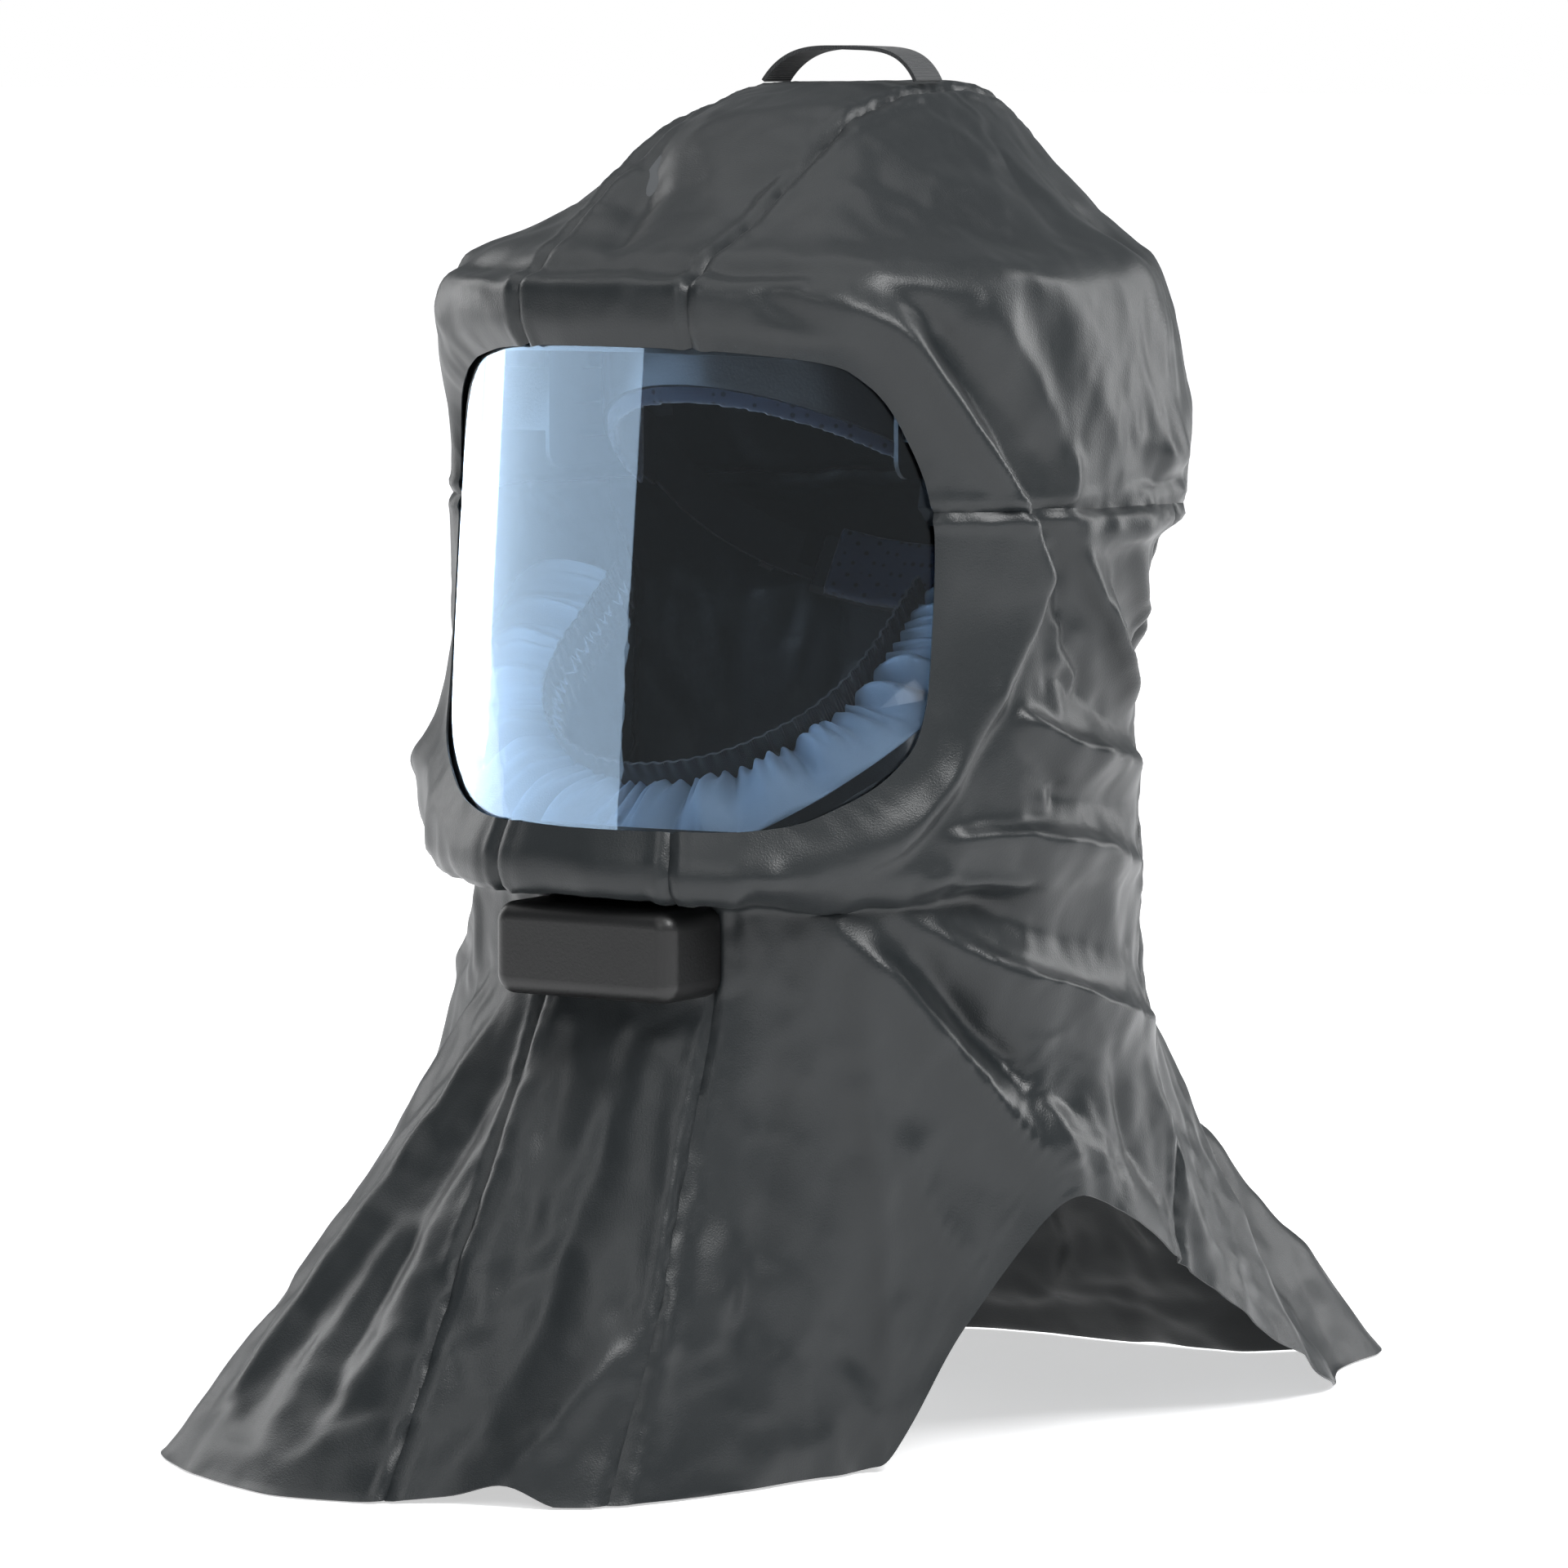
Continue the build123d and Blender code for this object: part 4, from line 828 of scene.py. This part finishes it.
# ---------------------------------------------------------------- panels and seams
SEAM_X, NECK_SEAM_Z, SHOULDER_Y = 39.0, 385.0, 45.0
SEAM_PLANES = [
    ((SEAM_X, 0, 0), (1, 0, 0)), ((-SEAM_X, 0, 0), (1, 0, 0)),
    ((0, 0, NECK_SEAM_Z), (0, 0, 1)), ((0, SHOULDER_Y, 0), (0, 1, 0)),
]
NO_SEAM = 99  # stands for the distance to a seam that isn't there
SEAM_DEPTH, SEAM_WIDTH = 1.5, 1.4
RIDGE_HEIGHT, RIDGE_AT, RIDGE_WIDTH = 0.8, 4.5, 2.4
FABRIC_THICKNESS, SKIRT_THICKNESS, BAND_THICKNESS = 0.0008, 0.0005, 0.0012  # metres
LOWEST = 0.0012  # metres that the hem's outer face stays above the floor
# The CAD nodes that each panel stands for.
PANELS = {
    "crown": ("crown_panel", "visor_brim"),
    "side_left": ("hood_side_left",),
    "side_right": ("hood_side_right",),
    "cape": ("cape_back",),
    "bib": ("bib_center", "visor_sleeve_bottom"),
    "skirt_on_left": ("skirt_left", "visor_sleeve_left"),
    "skirt_on_right": ("skirt_right", "visor_sleeve_right"),
}


def panel_at(x, y, z):
    """The panel that a place on the base surface belongs to."""
    if z > NECK_SEAM_Z:
        middle, left, right = "crown", "side_left", "side_right"
    elif y > SHOULDER_Y:
        return "cape"
    else:
        middle, left, right = "bib", "skirt_on_left", "skirt_on_right"
    if abs(x) < SEAM_X:
        return middle
    return left if x > 0 else right


def seam_pull(seamed):
    """How far each point is drawn in at a seam, or stands up beside it, with puckers along it."""
    x, y, z = np.abs(seamed[:, 0]), seamed[:, 1], seamed[:, 2]
    gap = np.where((z > NECK_SEAM_Z) | (y < SHOULDER_Y), np.abs(x - SEAM_X), NO_SEAM)
    gap = np.minimum(gap, np.where((x > SEAM_X) | (y > SHOULDER_Y), np.abs(z - NECK_SEAM_Z), NO_SEAM))
    gap = np.minimum(gap, np.where((z < NECK_SEAM_Z) & (x > SEAM_X), np.abs(y - SHOULDER_Y), NO_SEAM))
    pull = SEAM_DEPTH * np.exp(-((gap / SEAM_WIDTH) ** 2))
    pull = pull - RIDGE_HEIGHT * np.exp(-(((gap - RIDGE_AT) / RIDGE_WIDTH) ** 2))
    pucker = np.array([noise.noise(Vector((p[0] / 30, p[1] / 6, p[2] / 6))) for p in seamed])
    return pull * (1 + 0.9 * pucker)


def seamed_whole(hood):
    """The hood's mesh cut along its seams, with the seams drawn in and its faces marked by panel."""
    bm = bmesh.new()
    bm.from_mesh(hood.data)
    rest = bm.verts.layers.float_vector["rest"]
    final = bm.verts.layers.float_vector.new("final")
    for v in bm.verts:
        v[final] = v.co
        v.co = v[rest]
    for co, no in SEAM_PLANES:
        everything = bm.verts[:] + bm.edges[:] + bm.faces[:]
        bmesh.ops.bisect_plane(bm, geom=everything, dist=1e-5, plane_co=Vector(co) * MM, plane_no=no)
    names = list(PANELS)
    mark = bm.faces.layers.int.new("panel")
    for face in bm.faces:
        face[mark] = names.index(panel_at(*(face.calc_center_median() / MM)))
    seamed = np.array([v.co for v in bm.verts]) / MM
    for v in bm.verts:
        v.co = v[final]
    bm.normal_update()
    moves = [v.normal * (-pull * MM) for v, pull in zip(bm.verts, seam_pull(seamed))]
    for v, move in zip(bm.verts, moves):
        v.co += move
        v.co.z = max(v.co.z, LOWEST)
    whole = bpy.data.meshes.new("hood_whole")
    bm.to_mesh(whole)
    bm.free()
    return whole


def split_panels(hood):
    """Turns the hood into its panels, each with its thickness."""
    whole = seamed_whole(hood)
    made = {}
    for number, name in enumerate(PANELS):
        part = bmesh.new()
        part.from_mesh(whole)
        mark = part.faces.layers.int["panel"]
        bmesh.ops.delete(part, geom=[f for f in part.faces if f[mark] != number], context="FACES")
        mesh = bpy.data.meshes.new(name)
        part.to_mesh(mesh)
        part.free()
        thing = linked(name, mesh)
        mesh.materials.append(MATERIALS["hood_fabric"])
        thickened(thing, FABRIC_THICKNESS, -1)
        thing.data.set_sharp_from_angle(angle=radians(60))
        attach(thing, "root")
        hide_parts(*PANELS[name])
        made[name] = thing
    bpy.data.objects.remove(hood)
    bpy.data.meshes.remove(whole)
    return made


# ---------------------------------------------------------------- soft parts inside
SEAL_ORIGIN, SEAL_RISE = np.array([0.0, -127.0, 275.0]), radians(37)
SEAL_Y = np.array([0, cos(SEAL_RISE), sin(SEAL_RISE)])
SEAL_N = np.array([0, -sin(SEAL_RISE), cos(SEAL_RISE)])
SEAL_R, SEAL_JAW = 74.0, 46.0  # radius of the chin, straight length of each jaw
SEAL_MIDDLE = np.array([0.0, 72.4])
GATHERS, BROAD_GATHERS, BAND_WIDTH = 52, 15, 24
WIDEST_SKIRT, HALVINGS = 120.0, 24


def seal_path(u):
    """A point on the face opening and the way outwards, in the seal's plane; u runs from 0 to 1."""
    total = 2 * SEAL_JAW + pi * SEAL_R
    run = u * total
    if run < SEAL_JAW:
        return SEAL_MIDDLE + [-SEAL_R, SEAL_JAW - run], np.array([-1.0, 0])
    if run > total - SEAL_JAW:
        return SEAL_MIDDLE + [SEAL_R, run - (total - SEAL_JAW)], np.array([1.0, 0])
    a = pi + (run - SEAL_JAW) / SEAL_R
    out = np.array([cos(a), sin(a)])
    return SEAL_MIDDLE + out * SEAL_R, out


def seal_width(start, out):
    """How far the skirt reaches from the face opening to the inside of the visor's frame."""
    near, far = 0.0, WIDEST_SKIRT
    for _ in range(HALVINGS):
        mid = (near + far) / 2
        x, up = start + out * mid
        y, z = (SEAL_ORIGIN + up * SEAL_Y)[1:]
        level = y * cos(VISOR_LEAN) - (z - VISOR_MID_Z) * sin(VISOR_LEAN)
        inside = (x / FRAME_HALF) ** 2 + (level / FRAME_DEPTH) ** 2 < 1
        near, far = (mid, far) if inside else (near, mid)
    return near


def in_seal(x, up, height):
    """The point at across and up coordinates in the seal's plane, and a height off it."""
    return SEAL_ORIGIN + np.array([x, 0, 0]) + up * SEAL_Y + height * SEAL_N


def gathered_seal():
    """The pale inner skirt, drawn up on the elastic round the face."""
    columns, rows = 460, 22
    points = []
    for i in range(columns):
        u = i / (columns - 1)
        start, out = seal_path(u)
        width = seal_width(start, out)
        wander = noise.noise(Vector((u * 30, 3, 0)))
        fine = cos(2 * pi * (GATHERS * u + 0.8 * wander))
        broad = cos(2 * pi * (BROAD_GATHERS * u + 0.6 * noise.noise(Vector((u * 12, 9, 0)))))
        for j in range(rows):
            s = j / (rows - 1)
            height = 2.6 * fine * (1 - s) ** 1.6 * (1 + 0.5 * wander) + 4.5 * broad * sin(pi * s) ** 0.8
            height += 9 * sin(pi * s) * (0.8 + 0.4 * noise.noise(Vector((u * 9, s * 2, 5))))
            x, up = start + out * (width * s - 2.0 * (1 - s) + 0.9 * fine * (1 - s) ** 3)
            points.append(in_seal(x, up, height))
    skirt = strip("face_skirt", points, columns, rows, "skirt_inner", SKIRT_THICKNESS)
    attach(skirt, "root")
    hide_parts("face_seal")


def elastic_band():
    """The wide elastic that the skirt is gathered on, with the small waves that gathering leaves."""
    columns, rows = 400, 12
    points = []
    for i in range(columns):
        u = i / (columns - 1)
        start, out = seal_path(u)
        for j in range(rows):
            s = j / (rows - 1)
            wave = 0.55 * cos(2 * pi * GATHERS * u) * (2 * s - 1) ** 2
            wave += 0.7 * noise.noise(Vector((u * 14, s, 1)))
            x, up = start + out * (wave - 0.6)
            points.append(in_seal(x, up, BAND_WIDTH * (s - 0.5)))
    band = strip("seal_elastic_band", points, columns, rows, "seal_elastic", BAND_THICKNESS)
    band.data.set_sharp_from_angle(angle=radians(50))
    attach(band, "root")
    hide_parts("face_seal_band")


def soft_pad(name, node, slot, voxel):
    """A foam-filled copy of a node, with its edges rounded off."""
    pad = NODES[node].copy()
    pad.data = NODES[node].data.copy()
    pad.name = pad.data.name = name
    bpy.context.scene.collection.objects.link(pad)
    remesh = pad.modifiers.new("remesh", "REMESH")
    remesh.mode, remesh.voxel_size = "VOXEL", voxel
    soften = pad.modifiers.new("soften", "SMOOTH")
    soften.factor, soften.iterations = 0.5, 6
    baked(pad)
    pad.data.materials.clear()
    pad.data.materials.append(MATERIALS[slot])
    pad.data.shade_smooth()
    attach(pad, "root")
    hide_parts(node)


dress_nodes()
gathered_seal()
elastic_band()
soft_pad("brow_pad", "sweatband", "sweatband", 0.0016)
soft_pad("nape_cushion", "nape_pad", "sweatband", 0.0015)
hood, pinned, window_gap, hood_base = build_hood()
relax(hood, pinned, window_gap, hood_base)
crease(hood, window_gap, hood_base)
smooth = hood.modifiers.new("smooth", "SUBSURF")
smooth.levels = smooth.render_levels = 1
baked(hood)
panels = split_panels(hood)

add_camera()
add_floor()
add_world()
add_lights()
